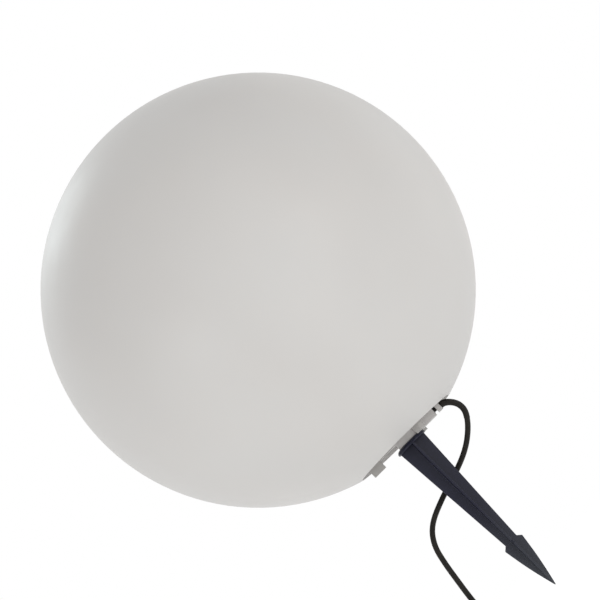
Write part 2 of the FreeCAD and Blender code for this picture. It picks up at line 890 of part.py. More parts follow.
def tangent_arc(start, control, end):
    """Arc from start to end with both tangents through the control point."""
    chord_middle = (start + end) * 0.5
    half_turn = (control - start).getAngle(end - start)
    if half_turn < 1e-6:
        return Part.LineSegment(start, end).toShape()
    bulge = math.tan(half_turn / 2) / math.tan(half_turn)
    return arc_through(start, chord_middle + (control - chord_middle) * bulge, end)


def biarc(start, start_tangent, end, end_tangent):
    """Two arcs that leave one point and reach the next along given directions."""
    chord = end - start
    total = start_tangent + end_tangent
    spread = 2 * (1 - start_tangent.dot(end_tangent))
    projection = chord.dot(total)
    if abs(spread) < 1e-9:
        reach = chord.dot(chord) / (4 * chord.dot(end_tangent))
    else:
        root = math.sqrt(projection ** 2 + spread * chord.dot(chord))
        reach = (root - projection) / spread
    first = start + start_tangent * reach
    second = end - end_tangent * reach
    joint = (first + second) * 0.5
    return [tangent_arc(start, first, joint), tangent_arc(joint, second, end)]


def coil_gap(path):
    """Least gap between turns of the coil, measured on points of its centre line."""
    per_turn = 48
    points = path.discretize(Number=int(per_turn * coil_layers * coil_turns_per_layer))
    least = 1e9
    for i, p in enumerate(points):
        for q in points[i + per_turn // 2:]:
            least = min(least, p.distanceToPoint(q))
    return least - cable_diameter


def coil_frame():
    """Where the coil's own axis and top layer are."""
    end = V(*cable_route[-1])
    outer = coil_inner_radius + coil_pitch * coil_turns_per_layer
    return end.x - outer, end.y - cable_diameter, outer


def coil_end():
    """Where the coil's tube stops, one cable diameter past its last turn."""
    x, y, outer = coil_frame()
    drop = (coil_layers - 1) * coil_pitch
    return V(x - outer, y + cable_diameter, cable_route[-1][2] - drop)


def coil_tie():
    """Closed strap round the turns at one place."""
    first = math.radians(tie_angle)
    total = coil_layers * coil_turns_per_layer * 2 * math.pi
    radii = []
    while first < total:
        radii.append(coil_point(first)[0])
        first += 2 * math.pi
    margin = cable_diameter / 2 + tie_clearance
    low = min(radii) - margin
    high = max(radii) + margin
    bottom = -(coil_layers - 1) * coil_pitch - margin
    strap = rounded_block(low, high, bottom, margin, tie_thickness, 3.0 + tie_thickness)
    strap = strap.cut(rounded_block(low, high, bottom, margin, 0, 3.0))
    x, y, outer = coil_frame()
    return shift(turned(strap, -tie_angle), x, y, cable_route[-1][2])


def rounded_block(x0, x1, z0, z1, grow, corner):
    """Block of the tie's width with its four long edges rounded."""
    half = tie_width / 2
    body = block(x0 - grow, x1 + grow, -half, half, z0 - grow, z1 + grow)
    edges = [e for e in body.Edges if abs(e.tangentAt(e.FirstParameter).y) > 0.9]
    return body.makeFillet(corner, edges)


def tail_points():
    end = coil_end()
    return [(end.x + x, end.y + y, end.z + z) for x, y, z in tail_route]


def along_tail(shape, distance):
    """Lay a piece made on the Z axis along +Y, a distance past the cable's end."""
    laid = shape.copy()
    laid.rotate(V(0, 0, 0), V(1, 0, 0), -90)
    x, y, z = tail_points()[-1]
    return shift(laid, x, y + distance, z)


def plug_strain_relief():
    """Tapered sleeve with ring grooves."""
    groove_count = 5
    pitch = relief_length / (groove_count + 1)
    cone = Part.makeCone(relief_tip_radius, relief_radius, relief_length)
    grooves = []
    for index in range(1, groove_count + 1):
        z = index * pitch - pitch / 4
        grooves.append(ring(relief_radius + 1, relief_tip_radius - 0.7 + index * 0.3, z, z + pitch / 2.6))
    return along_tail(cone.cut(Part.makeCompound(grooves)), 0)


def plug_section(width, height, z):
    """Flat oval: two straight sides and two half circles."""
    radius = height / 2
    reach = width / 2 - radius
    edges = [
        Part.LineSegment(V(-reach, -radius, z), V(reach, -radius, z)).toShape(),
        arc_through(V(reach, -radius, z), V(reach + radius, 0, z), V(reach, radius, z)),
        Part.LineSegment(V(reach, radius, z), V(-reach, radius, z)).toShape(),
        arc_through(V(-reach, radius, z), V(-reach - radius, 0, z), V(-reach, -radius, z)),
    ]
    return Part.Wire(edges)


def plug_body():
    """Moulded body that swells from the cable to a flat oval face."""
    neck = plug_section(plug_neck_width, relief_radius * 2 + 1.4, 0)
    waist = plug_section(plug_neck_width + 6, plug_height * 0.68, plug_length * 0.35)
    shoulder = plug_section(plug_width - 1.5, plug_height - 1.0, plug_length * 0.72)
    face = plug_section(plug_width, plug_height, plug_length)
    body = Part.makeLoft([neck, waist, shoulder, face], True, False)
    return along_tail(body, relief_length)


def plug_pins():
    pins = []
    for side in (-1, 1):
        pin = cylinder(plug_pin_radius, 0, plug_pin_length, side * plug_pin_spacing / 2, 0)
        tip = [e for e in pin.Edges if e.CenterOfMass.z > plug_pin_length - 0.1 and e.Closed]
        pins.append(along_tail(pin.makeFillet(1.4, tip), relief_length + plug_length))
    return pins


def cable_coil():
    x, y, outer = coil_frame()
    points = coil_positions(4)
    tangents = [coil_tangent(points, i) for i in range(len(points))]
    lead = Part.LineSegment(points[0] + V(0, cable_diameter, 0), points[0]).toShape()
    edges = [lead]
    for index in range(len(points) - 1):
        edges += biarc(points[index], tangents[index], points[index + 1], tangents[index + 1])
    last = points[-1] + tangents[-1] * cable_diameter
    edges.append(Part.LineSegment(points[-1], last).toShape())
    path = Part.Wire(edges)
    print("coil length", round(path.Length, 1), "least gap", round(coil_gap(path), 3))
    solid = tube(path, cable_diameter, points[0] + V(0, cable_diameter, 0), V(0, -1, 0))
    expected = math.pi * (cable_diameter / 2) ** 2 * path.Length
    print("coil volume ratio", round(solid.Volume / expected, 5))
    return shift(solid, x, y, cable_route[-1][2])


def build():
    wires = [route_tube("wire", wire_points(side), wire_diameter) for side in (-1, 1)]
    parts = {
        "globe_shell": globe_shell(),
        "base_cap": base_cap(),
        "rim_gasket": rim_gasket(),
        "cable_gland": cable_gland(),
        "cable_clamp": cable_clamp(),
        "holder_pillar": holder_pillar(),
        "lamp_holder_shell": lamp_holder_shell(),
        "lamp_holder_insert": lamp_holder_insert(),
        "holder_screw_shell": holder_screw_shell(),
        "centre_contact": centre_contact(),
        "side_contact": side_contact(),
        "bulb_tip": bulb_tip(),
        "bulb_insulator": bulb_insulator(),
        "bulb_cap": bulb_cap(),
        "bulb_housing": bulb_housing(),
        "led_board": led_board(),
        "bulb_diffuser": bulb_diffuser(),
        "inner_cable": inner_cable(),
        "live_wire": wires[0],
        "neutral_wire": wires[1],
        "ground_spike": ground_spike(),
        "cable": route_tube("cable", cable_route, cable_diameter),
        "cable_coil": cable_coil(),
        "coil_tie": coil_tie(),
        "cable_tail": route_tube("cable_tail", tail_points(), cable_diameter),
        "plug_strain_relief": plug_strain_relief(),
        "plug_body": plug_body(),
        "holder_nipple": holder_nipple(),
    }
    for index, part in enumerate(clamp_screws(), 1):
        parts["clamp_screw_%d" % index] = part
    for index, part in enumerate(pillar_screws(), 1):
        parts["pillar_screw_%d" % index] = part
    for index, part in enumerate(nipple_nuts(), 1):
        parts["nipple_nut_%d" % index] = part
    for index, part in enumerate(plug_pins(), 1):
        parts["plug_pin_%d" % index] = part
    return parts


os.makedirs("parts", exist_ok=True)
for node, shape in build().items():
    if not shape.isValid() or len(shape.Solids) != 1:
        print("check", node, shape.isValid(), len(shape.Solids))
    shape.exportStep("parts/%s.step" % node)
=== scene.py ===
import bmesh
import bpy
import math
from mathutils import Matrix, Quaternion, Vector
from mathutils.bvhtree import BVHTree


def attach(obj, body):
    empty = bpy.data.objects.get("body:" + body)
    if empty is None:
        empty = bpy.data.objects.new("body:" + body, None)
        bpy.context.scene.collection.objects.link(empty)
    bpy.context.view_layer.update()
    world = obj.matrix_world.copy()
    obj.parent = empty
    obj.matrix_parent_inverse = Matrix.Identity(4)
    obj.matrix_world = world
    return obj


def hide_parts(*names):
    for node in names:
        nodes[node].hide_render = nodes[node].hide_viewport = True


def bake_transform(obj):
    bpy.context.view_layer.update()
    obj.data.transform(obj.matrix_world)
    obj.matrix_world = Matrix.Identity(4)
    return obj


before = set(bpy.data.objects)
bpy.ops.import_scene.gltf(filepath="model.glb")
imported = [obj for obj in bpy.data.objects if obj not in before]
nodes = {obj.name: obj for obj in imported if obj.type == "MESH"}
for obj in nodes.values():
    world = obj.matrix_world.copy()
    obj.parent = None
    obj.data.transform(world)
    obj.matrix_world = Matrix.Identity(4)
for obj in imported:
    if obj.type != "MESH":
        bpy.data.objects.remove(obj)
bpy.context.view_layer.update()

# Garden globe light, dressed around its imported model.
# Metres, except where a heading says otherwise. +Z is up along the light's axis, Z = 0 is the ground line
# under the feet and +X is the cable's side.

MM = 0.001

# Sizes shared with the part's source, in metres
GLOBE_RADIUS = 0.250
RIM_RADIUS = 0.071
RIM_HEIGHT = 0.0084
GLOBE_CENTRE = RIM_HEIGHT + math.sqrt(GLOBE_RADIUS ** 2 - RIM_RADIUS ** 2)
CABLE_DIAMETER = 0.0066

# Cable route from the gland, the coil and the tail to the plug, as in the part's source, in millimetres
CABLE_ROUTE = (
    (44.7, 0.0, 8.3), (55.4, 0.0, 8.3), (65.3, 0.2, 1.9), (71.3, 1.2, -8.4), (69.9, 3.4, -20.4),
    (57.7, 8.0, -35.5), (37.8, 16.0, -50.0), (9.9, 23.0, -60.6), (-20.6, 22.5, -69.9),
    (-49.4, 16.0, -82.4), (-64.0, 10.0, -101.2), (-69.6, 6.5, -125.6), (-73.2, 4.6, -149.8),
    (-75.9, 2.0, -168.6), (-77.4, -4.0, -185.6), (-78.6, -16.0, -197.8), (-79.0, -34.0, -203.8),
    (-79.0, -50.0, -203.8),
)
TAIL_ROUTE = ((0.0, 0.0, 0.0), (0.0, 14.0, 0.0), (-0.9, 31.0, 4.2), (0.0, 47.0, 8.3), (0.0, 61.0, 8.3))
COIL_LAYERS = 4
COIL_TURNS_PER_LAYER = 2.375
COIL_PITCH = 7.2
COIL_INNER_RADIUS = 34.0
COIL_POINTS_PER_TURN = 24

# Smoothness of the cable: points round its tube, steps between control points and order of its curve
CABLE_RING_POINTS = 14
CABLE_CURVE_STEPS = 6
CABLE_CURVE_ORDER = 3

# Rubber boot on the cable at the guide post, in millimetres
BOOT_START = 54.1
BOOT_LENGTH = 45.0
BOOT_RADIUS = 3.85
BOOT_END_RADIUS = 3.5
BOOT_SHOULDER = 0.65
BOOT_SHOULDER_LENGTH = 7.0
BOOT_START_ROUND = 0.8
BOOT_START_INSET = 0.7
BOOT_END_ROUND = 0.5
BOOT_END_INSET = 0.5
BOOT_STEPS = 40
BOOT_FINE_STEP = 0.15
BOOT_FINE_COUNT = 8

# Sides of round forms, from small to large
SEAM_SIDES = 8
BEAD_SIDES = 12
SMALL_SIDES = 32
PIN_COLLAR_SIDES = 40
ROUND_SIDES = 64
FINE_SIDES = 96
LARGE_SIDES = 128

# Rounding of blocks and of corners in an outline, and the angle in degrees from which edges are shaded sharp
BEVEL_STEPS = 2
BEVEL_PROFILE = 0.6
CORNER_STEPS = 4
CORNER_SHARE = 0.45
SHARP_ANGLE = 38.0

# Ground spike, in millimetres and degrees; it leans a little in its socket's play
SPIKE_TURN = 6.0
SPIKE_LEAN = 0.65
SPIKE_LEAN_HEIGHT = 45.0
SPIKE_SEAT = 2.8
SPIKE_SEAT_RADIUS = 14.8
SPIKE_FLANGE_RADIUS = 20.8
SPIKE_FLANGE_DROP = 4.2
SPIKE_FLANGE_THICKNESS = 1.1
SPIKE_FIN_THICKNESS = 2.6
SPIKE_FIN_ROUND = 0.45
SPIKE_ROOT_ROUND = 0.9
SPIKE_ARC_STEPS = 4
SPIKE_FLANGE_STEPS = 10
SPIKE_LIP_STEPS = 6
SPIKE_INNER_RADIUS = 0.5
SPIKE_TOP_RADIUS = 18.5
SPIKE_NECK_RADIUS = 8.85
SPIKE_NECK_DEPTH = 159.6
SPIKE_BARB_RADIUS = 13.8
SPIKE_BARB_DEPTH = 163.8
SPIKE_DEPTH = 230.2
SPIKE_POINT_RADIUS = 0.6
SPIKE_POINT_BULGE = 1.05
SPIKE_POINT_STEPS = 9
SPIKE_TIP_HEIGHT = 0.4
SPIKE_TIP_SHARE = 0.3
SPIKE_LEVEL_ROUND = 1.2
SPIKE_START_INSET = 1.0
PEG_RADIUS = 10.9
PEG_HEIGHT = 38.0
PEG_CHAMFER = 2.0
PEG_TOP_DROP = 0.3
PEG_TOP_INSET = 0.5
PEG_SINK = 0.5
PEG_LEVEL_ROUND = 0.6
PEG_COLLAR_HEIGHT = 4.0
PEG_COLLAR_CHAMFER = 0.4

# Shares that fins, their edges and their roots may take of a narrow section, and the least room for a root
NARROW_FIN = 0.75
NARROW_EDGE = 0.6
NARROW_ROOT = 0.5
LEAST_ROOT_ROOM = 0.02

# Underside of the base cap, in millimetres and degrees
CAP_UNDERSIDE = 12.7
RIB_ANGLES = (36.0, 96.0, 138.0, 222.0, 264.0, 324.0)
RIB_START = 13.6
RIB_END = 64.0
RIB_HEIGHT = 1.5
RIB_WIDTH = 1.4
RIB_SINK = 0.3
RIB_ROUND = 0.25
RING_RADIUS = 64.0
RING_EDGE_HEIGHT = 0.2
RING_EDGE_SHARES = (0.8, 0.6)
EJECTOR_RADIUS = 2.5
EJECTOR_HEIGHT = 0.15
EJECTOR_CHAMFER = 0.1
EJECTOR_SINK = 0.2
EJECTOR_PLACES = ((32.0, 51.0), (32.0, 117.0), (32.0, 201.0), (32.0, 243.0), (57.0, 22.0), (57.0, 338.0))

# Screw cap of the bulb and the shell it screws into, in millimetres
THREAD_PITCH = 3.63
THREAD_FADE = 1.2
CAP_THREAD_DEPTH = 0.85
SHELL_THREAD_DEPTH = 0.4
INSERT_TOP = 132.0
BULB_BOTTOM = 135.0
TIP_HEIGHT = 1.1
INSULATOR_HEIGHT = 2.6
INSULATOR_RADIUS = 8.5
BULB_CAP_RADIUS = 13.1
BULB_CAP_HEIGHT = 22.5
BULB_CAP_TAPER = 3.5
BULB_CAP_SHOULDER = 2.2
BULB_CAP_SHOULDER_INSET = 1.6
BULB_CAP_STEPS = 64
BULB_THREAD_LEAD = 0.6
BULB_PLUG_DEPTH = 8.0
BULB_HOUSING_HEIGHT = 46.0
CRIMP_COUNT = 12
CRIMP_SHARPNESS = 6
CRIMP_DROP = 2.4
CRIMP_HEIGHT = 0.7
CRIMP_DEPTH = 0.35
SHELL_RADIUS = 14.0
SHELL_WALL = 0.4
SHELL_HEIGHT = 23.0
SHELL_STEPS = 72
SHELL_THREAD_START = 1.5
SHELL_THREAD_END = 1.0
SHELL_FLOOR_WIDTH = 2.5

# Light sources on the bulb's board and their yellow faces, in millimetres
BOARD_THICKNESS = 1.6
CHIP_COUNT = 8
CHIP_RADIUS = 14.0
CHIP_SIZE = 3.0
CHIP_HEIGHT = 0.6
PHOSPHOR_MARGIN = 0.3
PHOSPHOR_SINK = 0.2
PHOSPHOR_STAND = 0.12
PHOSPHOR_ROUND = 0.08

# Tie round the coil, in millimetres and degrees
TIE_ANGLE = 250.0
TIE_WIDTH = 5.0
TIE_THICKNESS = 0.9
TIE_CLEARANCE = 0.35
TIE_HEAD = (4.2, 7.6, 6.6)
TIE_HEAD_ROUND = 0.7
TIE_SINK = 0.6
TIE_TAIL = 9.0
TIE_TAIL_SINK = 0.5
TIE_TAIL_ROUND = 0.2
TOOTH_COUNT = 5
TOOTH_START = 1.2
TOOTH_PITCH = 1.4
TOOTH_HEIGHT = 0.6
TOOTH_FRONT = 0.45
TOOTH_BACK = 0.8
TOOTH_HALF_WIDTH = 1.5
TOOTH_ROUND = 0.1

# Plug, in millimetres: its axis runs along +Y, and each level of a pin's collar is a radius and a distance
# out of the plug's face
PLUG_AXIS = (-181.2, -217.1)
PLUG_START = 43.0
PLUG_LENGTH = 36.0
PLUG_SEARCH = 40.0
PIN_SPACING = 19.0
PIN_COLLAR = ((3.6, -0.3), (3.6, 0.25), (3.4, 0.45), (2.6, 0.45))
GRIP_FIRST = 11.0
GRIP_PITCH = 3.1
GRIP_COUNT = 6
GRIP_HALF_HEIGHT = 5.2
GRIP_RADIUS = 0.75
GRIP_STEPS = 14
GRIP_SQUARENESS = 4
GRIP_END_SHARE = 0.12
SEAM_RADIUS = 0.28
SEAM_MARGIN = 0.6
SEAM_STEPS = 36

# Painted light and shade in the colour, each from where it starts to where it is full, in metres: painted
# shade on the feet by distance from the axis, height and X, and painted light on the spike by height
FOOT_SHADE_RADIUS = (0.0380, 0.0385)
FOOT_SHADE_HEIGHT = (0.0120, 0.0085)
FOOT_SHADE_X = (0.031, 0.030)
TIP_LIGHT_HEIGHT = (-0.105, -0.225)

# Camera: looks a little upwards, with the light's axis running down to the right in the picture
VIEW_DISTANCE = 4.0
VIEW_ELEVATION = 6.2
PICTURE = 600
GLOBE_PICTURE_X = 258.3
GLOBE_PICTURE_Y = 290.2
GLOBE_PICTURE_RADIUS = 217.7
SPIKE_PICTURE_ANGLE = 44.92
SENSOR = 36.0
CLIP_START = 0.05
CLIP_END = 60

# Shading: samples of rounded edges, how much finer a plastic's specks and gloss are than its clouds, and the
# scale of its ripples
EDGE_SAMPLES = 4
SPECK_SCALE = 14
GLOSS_SCALE = 3.1
RIPPLE_SCALE = 60

# Floor and world, in metres; the floor has a colour and a glow for the light and others for what is seen
FLOOR_RADIUS = 9.0
FLOOR_GAP = 0.0004
FLOOR_COLOUR = (0.86, 0.855, 0.85)
FLOOR_GLOW = 0.34
FLOOR_SEEN_COLOUR = (0.24, 0.24, 0.24)
FLOOR_SEEN_GLOW = 0.86
AMBIENT = 0.757
AMBIENT_COLOUR = (1.0, 0.997, 0.99)
WHITE = (1, 1, 1)


def make_camera():
    away = math.sqrt(VIEW_DISTANCE ** 2 - GLOBE_RADIUS ** 2)
    focal = GLOBE_PICTURE_RADIUS * away / GLOBE_RADIUS
    tilt = math.radians(VIEW_ELEVATION)
    towards = Vector((0, math.cos(tilt), math.sin(tilt)))
    centre = Vector((0, 0, GLOBE_CENTRE))
    aim = Vector((GLOBE_PICTURE_X - PICTURE / 2, PICTURE / 2 - GLOBE_PICTURE_Y, -focal))
    data = bpy.data.cameras.new("camera")
    data.sensor_width = SENSOR
    data.lens = focal * SENSOR / PICTURE
    data.clip_start = CLIP_START
    data.clip_end = CLIP_END
    camera = bpy.data.objects.new("camera", data)
    bpy.context.scene.collection.objects.link(camera)
    roll = Quaternion((0, 0, 1), math.radians(-SPIKE_PICTURE_ANGLE))
    offset = aim.rotation_difference(Vector((0, 0, -1)))
    camera.rotation_mode = "QUATERNION"
    camera.rotation_quaternion = towards.to_track_quat("-Z", "Y") @ roll @ offset
    camera.location = centre - towards * VIEW_DISTANCE
    bpy.context.scene.camera = camera


def metres(point):
    return Vector(point) * MM


def coil_centre_line(angle):
    """Radius and drop of the coil at a winding angle: in and out in turn, a layer lower each time."""
    sweep = COIL_TURNS_PER_LAYER * 2 * math.pi
    layer = min(int(angle / sweep), COIL_LAYERS - 1)
    along = angle - layer * sweep
    travel = sweep - along if layer % 2 == 0 else along
    radius = COIL_INNER_RADIUS + COIL_PITCH * travel / (2 * math.pi)
    drop = layer * COIL_PITCH
    if layer < COIL_LAYERS - 1 and along > sweep - math.pi / 2:
        drop += COIL_PITCH * (1 - math.cos(along - sweep + math.pi / 2)) / 2
    if layer > 0 and along < math.pi / 2:
        drop -= COIL_PITCH * (1 - math.cos(math.pi / 2 - along)) / 2
    return radius, drop


def coil_axis():
    """Place of the coil's axis at the height of its first layer, and the radius where the coil starts."""
    end = Vector(CABLE_ROUTE[-1])
    outer = COIL_INNER_RADIUS + COIL_PITCH * COIL_TURNS_PER_LAYER
    return end.x - outer, end.y - CABLE_DIAMETER / MM, end.z, outer


def cord_points():
    """Control points of the whole cable: its route, the coil's turns and the tail."""
    x, y, z, outer = coil_axis()
    total = COIL_LAYERS * COIL_TURNS_PER_LAYER
    count = int(round(total * COIL_POINTS_PER_TURN))
    points = [metres(p) for p in CABLE_ROUTE]
    for index in range(count + 1):
        angle = index * 2 * math.pi * total / count
        radius, drop = coil_centre_line(angle)
        points.append(metres((x + radius * math.cos(angle), y - radius * math.sin(angle), z - drop)))
    end = Vector((x - outer, y + CABLE_DIAMETER / MM, z - (COIL_LAYERS - 1) * COIL_PITCH))
    return points + [metres(end + Vector(p)) for p in TAIL_ROUTE]


def nurbs_line(name, points):
    """Smooth open curve with the given control points and no thickness."""
    data = bpy.data.curves.new(name, "CURVE")
    data.dimensions = "3D"
    data.resolution_u = CABLE_CURVE_STEPS
    spline = data.splines.new("NURBS")
    spline.points.add(len(points) - 1)
    for control, point in zip(spline.points, points):
        control.co = (*point, 1)
    spline.order_u = CABLE_CURVE_ORDER
    spline.use_endpoint_u = True
    curve = bpy.data.objects.new(name, data)
    bpy.context.scene.collection.objects.link(curve)
    return curve


def curve_mesh(curve):
    bpy.context.view_layer.update()
    evaluated = curve.evaluated_get(bpy.context.evaluated_depsgraph_get())
    return bpy.data.meshes.new_from_object(evaluated)


def line_and_tube(name, points, diameter, ring_points):
    """Points along a smooth curve through a route, and a tube mesh round it."""
    curve = nurbs_line(name + "_line", points)
    path = [v.co.copy() for v in curve_mesh(curve).vertices]
    curve.data.bevel_depth = diameter / 2
    curve.data.bevel_resolution = ring_points // 2 - 2
    curve.data.use_fill_caps = True
    mesh = curve_mesh(curve)
    bpy.data.objects.remove(curve)
    mesh.name = name
    mesh.polygons.foreach_set("use_smooth", [True] * len(mesh.polygons))
    tube = bpy.data.objects.new(name, mesh)
    bpy.context.scene.collection.objects.link(tube)
    return path, tube


def make_cord():
    path, tube = line_and_tube("mains_cable", cord_points(), CABLE_DIAMETER, CABLE_RING_POINTS)
    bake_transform(tube)
    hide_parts("cable", "cable_coil", "cable_tail")
    return path, tube


make_camera()
cable_path, mains_cable = make_cord()


# Materials

def new_material(name):
    material = bpy.data.materials.new(name)
    material.use_nodes = True
    shader = material.node_tree.nodes["Principled BSDF"]
    return material, material.node_tree, shader


def object_position(tree):
    return tree.nodes.new("ShaderNodeTexCoord").outputs["Object"]


def noise(tree, scale, detail, roughness=0.5, distortion=0.0, stretch=None):
    """Cloudy pattern in the object's own space; a small stretch on an axis draws it out along that axis."""
    position = object_position(tree)
    if stretch:
        mapping = tree.nodes.new("ShaderNodeMapping")
        mapping.inputs["Scale"].default_value = stretch
        tree.links.new(position, mapping.inputs["Vector"])
        position = mapping.outputs["Vector"]
    node = tree.nodes.new("ShaderNodeTexNoise")
    node.inputs["Scale"].default_value = scale
    node.inputs["Detail"].default_value = detail
    node.inputs["Roughness"].default_value = roughness
    node.inputs["Distortion"].default_value = distortion
    tree.links.new(position, node.inputs["Vector"])
    return node.outputs["Fac"]


def ranged(tree, value, low, high, start=0.3, end=0.7):
    """Map a range of a value, by default the usual one of a noise, to run from low to high and stay there."""
    node = tree.nodes.new("ShaderNodeMapRange")
    node.inputs["From Min"].default_value = start
    node.inputs["From Max"].default_value = end
    node.inputs["To Min"].default_value = low
    node.inputs["To Max"].default_value = high
    tree.links.new(value, node.inputs["Value"])
    return node.outputs["Result"]


def mixed(tree, factor, first, second):
    """Blend of two colours, each a colour or another node's output."""
    node = tree.nodes.new("ShaderNodeMix")
    node.data_type = "RGBA"
    tree.links.new(factor, node.inputs["Factor"])
    # The node's colours are its inputs 6 and 7 and its output 2
    for value, socket in ((first, node.inputs[6]), (second, node.inputs[7])):
        if isinstance(value, bpy.types.NodeSocket):
            tree.links.new(value, socket)
        else:
            socket.default_value = (*value, 1)
    return node.outputs[2]


def bumped(tree, shader, layers, rounding=0.0):
    """Stack bump layers of (pattern, height in metres), over edges rounded in the shading."""
    normal = None
    if rounding:
        edge = tree.nodes.new("ShaderNodeBevel")
        edge.samples = EDGE_SAMPLES
        edge.inputs["Radius"].default_value = rounding
        normal = edge.outputs["Normal"]
    for pattern, height in layers:
        bump = tree.nodes.new("ShaderNodeBump")
        bump.inputs["Distance"].default_value = height
        tree.links.new(pattern, bump.inputs["Height"])
        if normal:
            tree.links.new(normal, bump.inputs["Normal"])
        normal = bump.outputs["Normal"]
    if normal:
        tree.links.new(normal, shader.inputs["Normal"])


def set_gloss(shader, specular=0.5, sheen=0.0, metallic=0.0):
    shader.inputs["Specular IOR Level"].default_value = specular
    shader.inputs["Sheen Weight"].default_value = sheen
    shader.inputs["Metallic"].default_value = metallic


def moulded_plastic(name, dark, light, cloud_scale, roughness, grain_scale, grain_height,
                    ripple_height=0.00002, rounding=0.0, specular=0.5):
    """Moulded plastic: soft clouds of colour, uneven gloss, a fine grain and slow ripples."""
    material, tree, shader = new_material(name)
    clouds = noise(tree, cloud_scale, detail=3, roughness=0.45, distortion=0.3)
    specks = noise(tree, cloud_scale * SPECK_SCALE, detail=2, roughness=0.6)
    base = mixed(tree, ranged(tree, clouds, 0, 1), dark, light)
    middle = [(d + l) / 2 for d, l in zip(dark, light)]
    tree.links.new(mixed(tree, ranged(tree, specks, 0, 0.25), base, middle), shader.inputs["Base Color"])
    gloss = noise(tree, cloud_scale * GLOSS_SCALE, detail=4, roughness=0.6)
    tree.links.new(ranged(tree, gloss, *roughness), shader.inputs["Roughness"])
    ripples = noise(tree, RIPPLE_SCALE, detail=2)
    grain = noise(tree, grain_scale, detail=2)
    bumped(tree, shader, [(ripples, ripple_height), (grain, grain_height)], rounding)
    set_gloss(shader, specular)
    return material


def rubber(name, dark, light, grain_scale=900):
    """Cable and plug rubber: dull, a little dusty, with a fine skin."""
    material, tree, shader = new_material(name)
    dust = noise(tree, 55, detail=5, roughness=0.65)
    tone = mixed(tree, ranged(tree, dust, 0, 1, 0.35, 0.75), dark, light)
    tree.links.new(tone, shader.inputs["Base Color"])
    gloss = noise(tree, 120, detail=3)
    tree.links.new(ranged(tree, gloss, 0.5, 0.68), shader.inputs["Roughness"])
    skin = noise(tree, 180, detail=2)
    grain = noise(tree, grain_scale, detail=2)
    bumped(tree, shader, [(skin, 0.00003), (grain, 0.000008)])
    set_gloss(shader, 0.22, sheen=0.05)
    return material


def brushed_metal(name, dark, light, roughness, stretch=(1, 1, 0.06)):
    """Drawn or turned metal: fine lines, faint stains and worn gloss."""
    material, tree, shader = new_material(name)
    lines = noise(tree, 900, detail=2, stretch=stretch)
    stains = noise(tree, 90, detail=4, roughness=0.6)
    tree.links.new(mixed(tree, ranged(tree, stains, 0, 1), dark, light), shader.inputs["Base Color"])
    tree.links.new(ranged(tree, lines, *roughness), shader.inputs["Roughness"])
    bumped(tree, shader, [(lines, 0.00001)], rounding=0.0002)
    set_gloss(shader, metallic=1.0)
    return material


def globe_plastic():
    """White rotational moulding: soft cloudy tone, satin skin with slow waves and a fine orange peel."""
    material, tree, shader = new_material("globe_plastic")
    clouds = noise(tree, 3.4, detail=2, roughness=0.4, distortion=0.4)
    tone = mixed(tree, ranged(tree, clouds, 0, 1, 0.32, 0.68), (0.560, 0.546, 0.533), (0.612, 0.598, 0.583))
    drift = noise(tree, 7.0, detail=3)
    cool = mixed(tree, ranged(tree, drift, 0, 0.35), tone, (0.565, 0.570, 0.570))
    tree.links.new(cool, shader.inputs["Base Color"])
    gloss = noise(tree, 9, detail=4, roughness=0.6)
    tree.links.new(ranged(tree, gloss, 0.42, 0.54), shader.inputs["Roughness"])
    waves = noise(tree, 16, detail=2)
    peel = noise(tree, 520, detail=2)
    bumped(tree, shader, [(waves, 0.0004), (peel, 0.00002)])
    set_gloss(shader, 0.45)
    return material


def step_mask(tree, value, start, end):
    """0 before the start of a range of a value and 1 past its end, in whichever direction that runs."""
    return ranged(tree, value, 0, 1, start, end) if start < end else ranged(tree, value, 1, 0, end, start)


def multiplied(tree, first, second):
    node = tree.nodes.new("ShaderNodeMath")
    node.operation = "MULTIPLY"
    tree.links.new(first, node.inputs[0])
    tree.links.new(second, node.inputs[1])
    return node.outputs[0]


def cap_plastic():
    """Pale moulding, with painted shade darkening the three feet that stand on the ground."""
    material = moulded_plastic(
        "cap_plastic", (0.47, 0.455, 0.445), (0.52, 0.505, 0.495),
        cloud_scale=18, roughness=(0.38, 0.5), grain_scale=700, grain_height=0.00003, rounding=0.0005)
    tree = material.node_tree
    colour = tree.nodes["Principled BSDF"].inputs["Base Color"]
    moulding_colour = colour.links[0].from_socket
    place = tree.nodes.new("ShaderNodeSeparateXYZ")
    tree.links.new(object_position(tree), place.inputs["Vector"])
    flat = tree.nodes.new("ShaderNodeVectorMath")
    flat.operation = "MULTIPLY"
    flat.inputs[1].default_value = (1, 1, 0)
    tree.links.new(object_position(tree), flat.inputs[0])
    length = tree.nodes.new("ShaderNodeVectorMath")
    length.operation = "LENGTH"
    tree.links.new(flat.outputs[0], length.inputs[0])
    # Painted shade: the feet darken out from the axis, low down and short of the cable's side
    outward = step_mask(tree, length.outputs["Value"], *FOOT_SHADE_RADIUS)
    feet = multiplied(tree, outward, step_mask(tree, place.outputs["Z"], *FOOT_SHADE_HEIGHT))
    feet = multiplied(tree, feet, step_mask(tree, place.outputs["X"], *FOOT_SHADE_X))
    patches = noise(tree, 150, detail=5, roughness=0.7)
    painted_shade = multiplied(tree, feet, ranged(tree, patches, 0.8, 1.0))
    tree.links.new(mixed(tree, painted_shade, moulding_colour, (0.345, 0.335, 0.322)), colour)
    return material


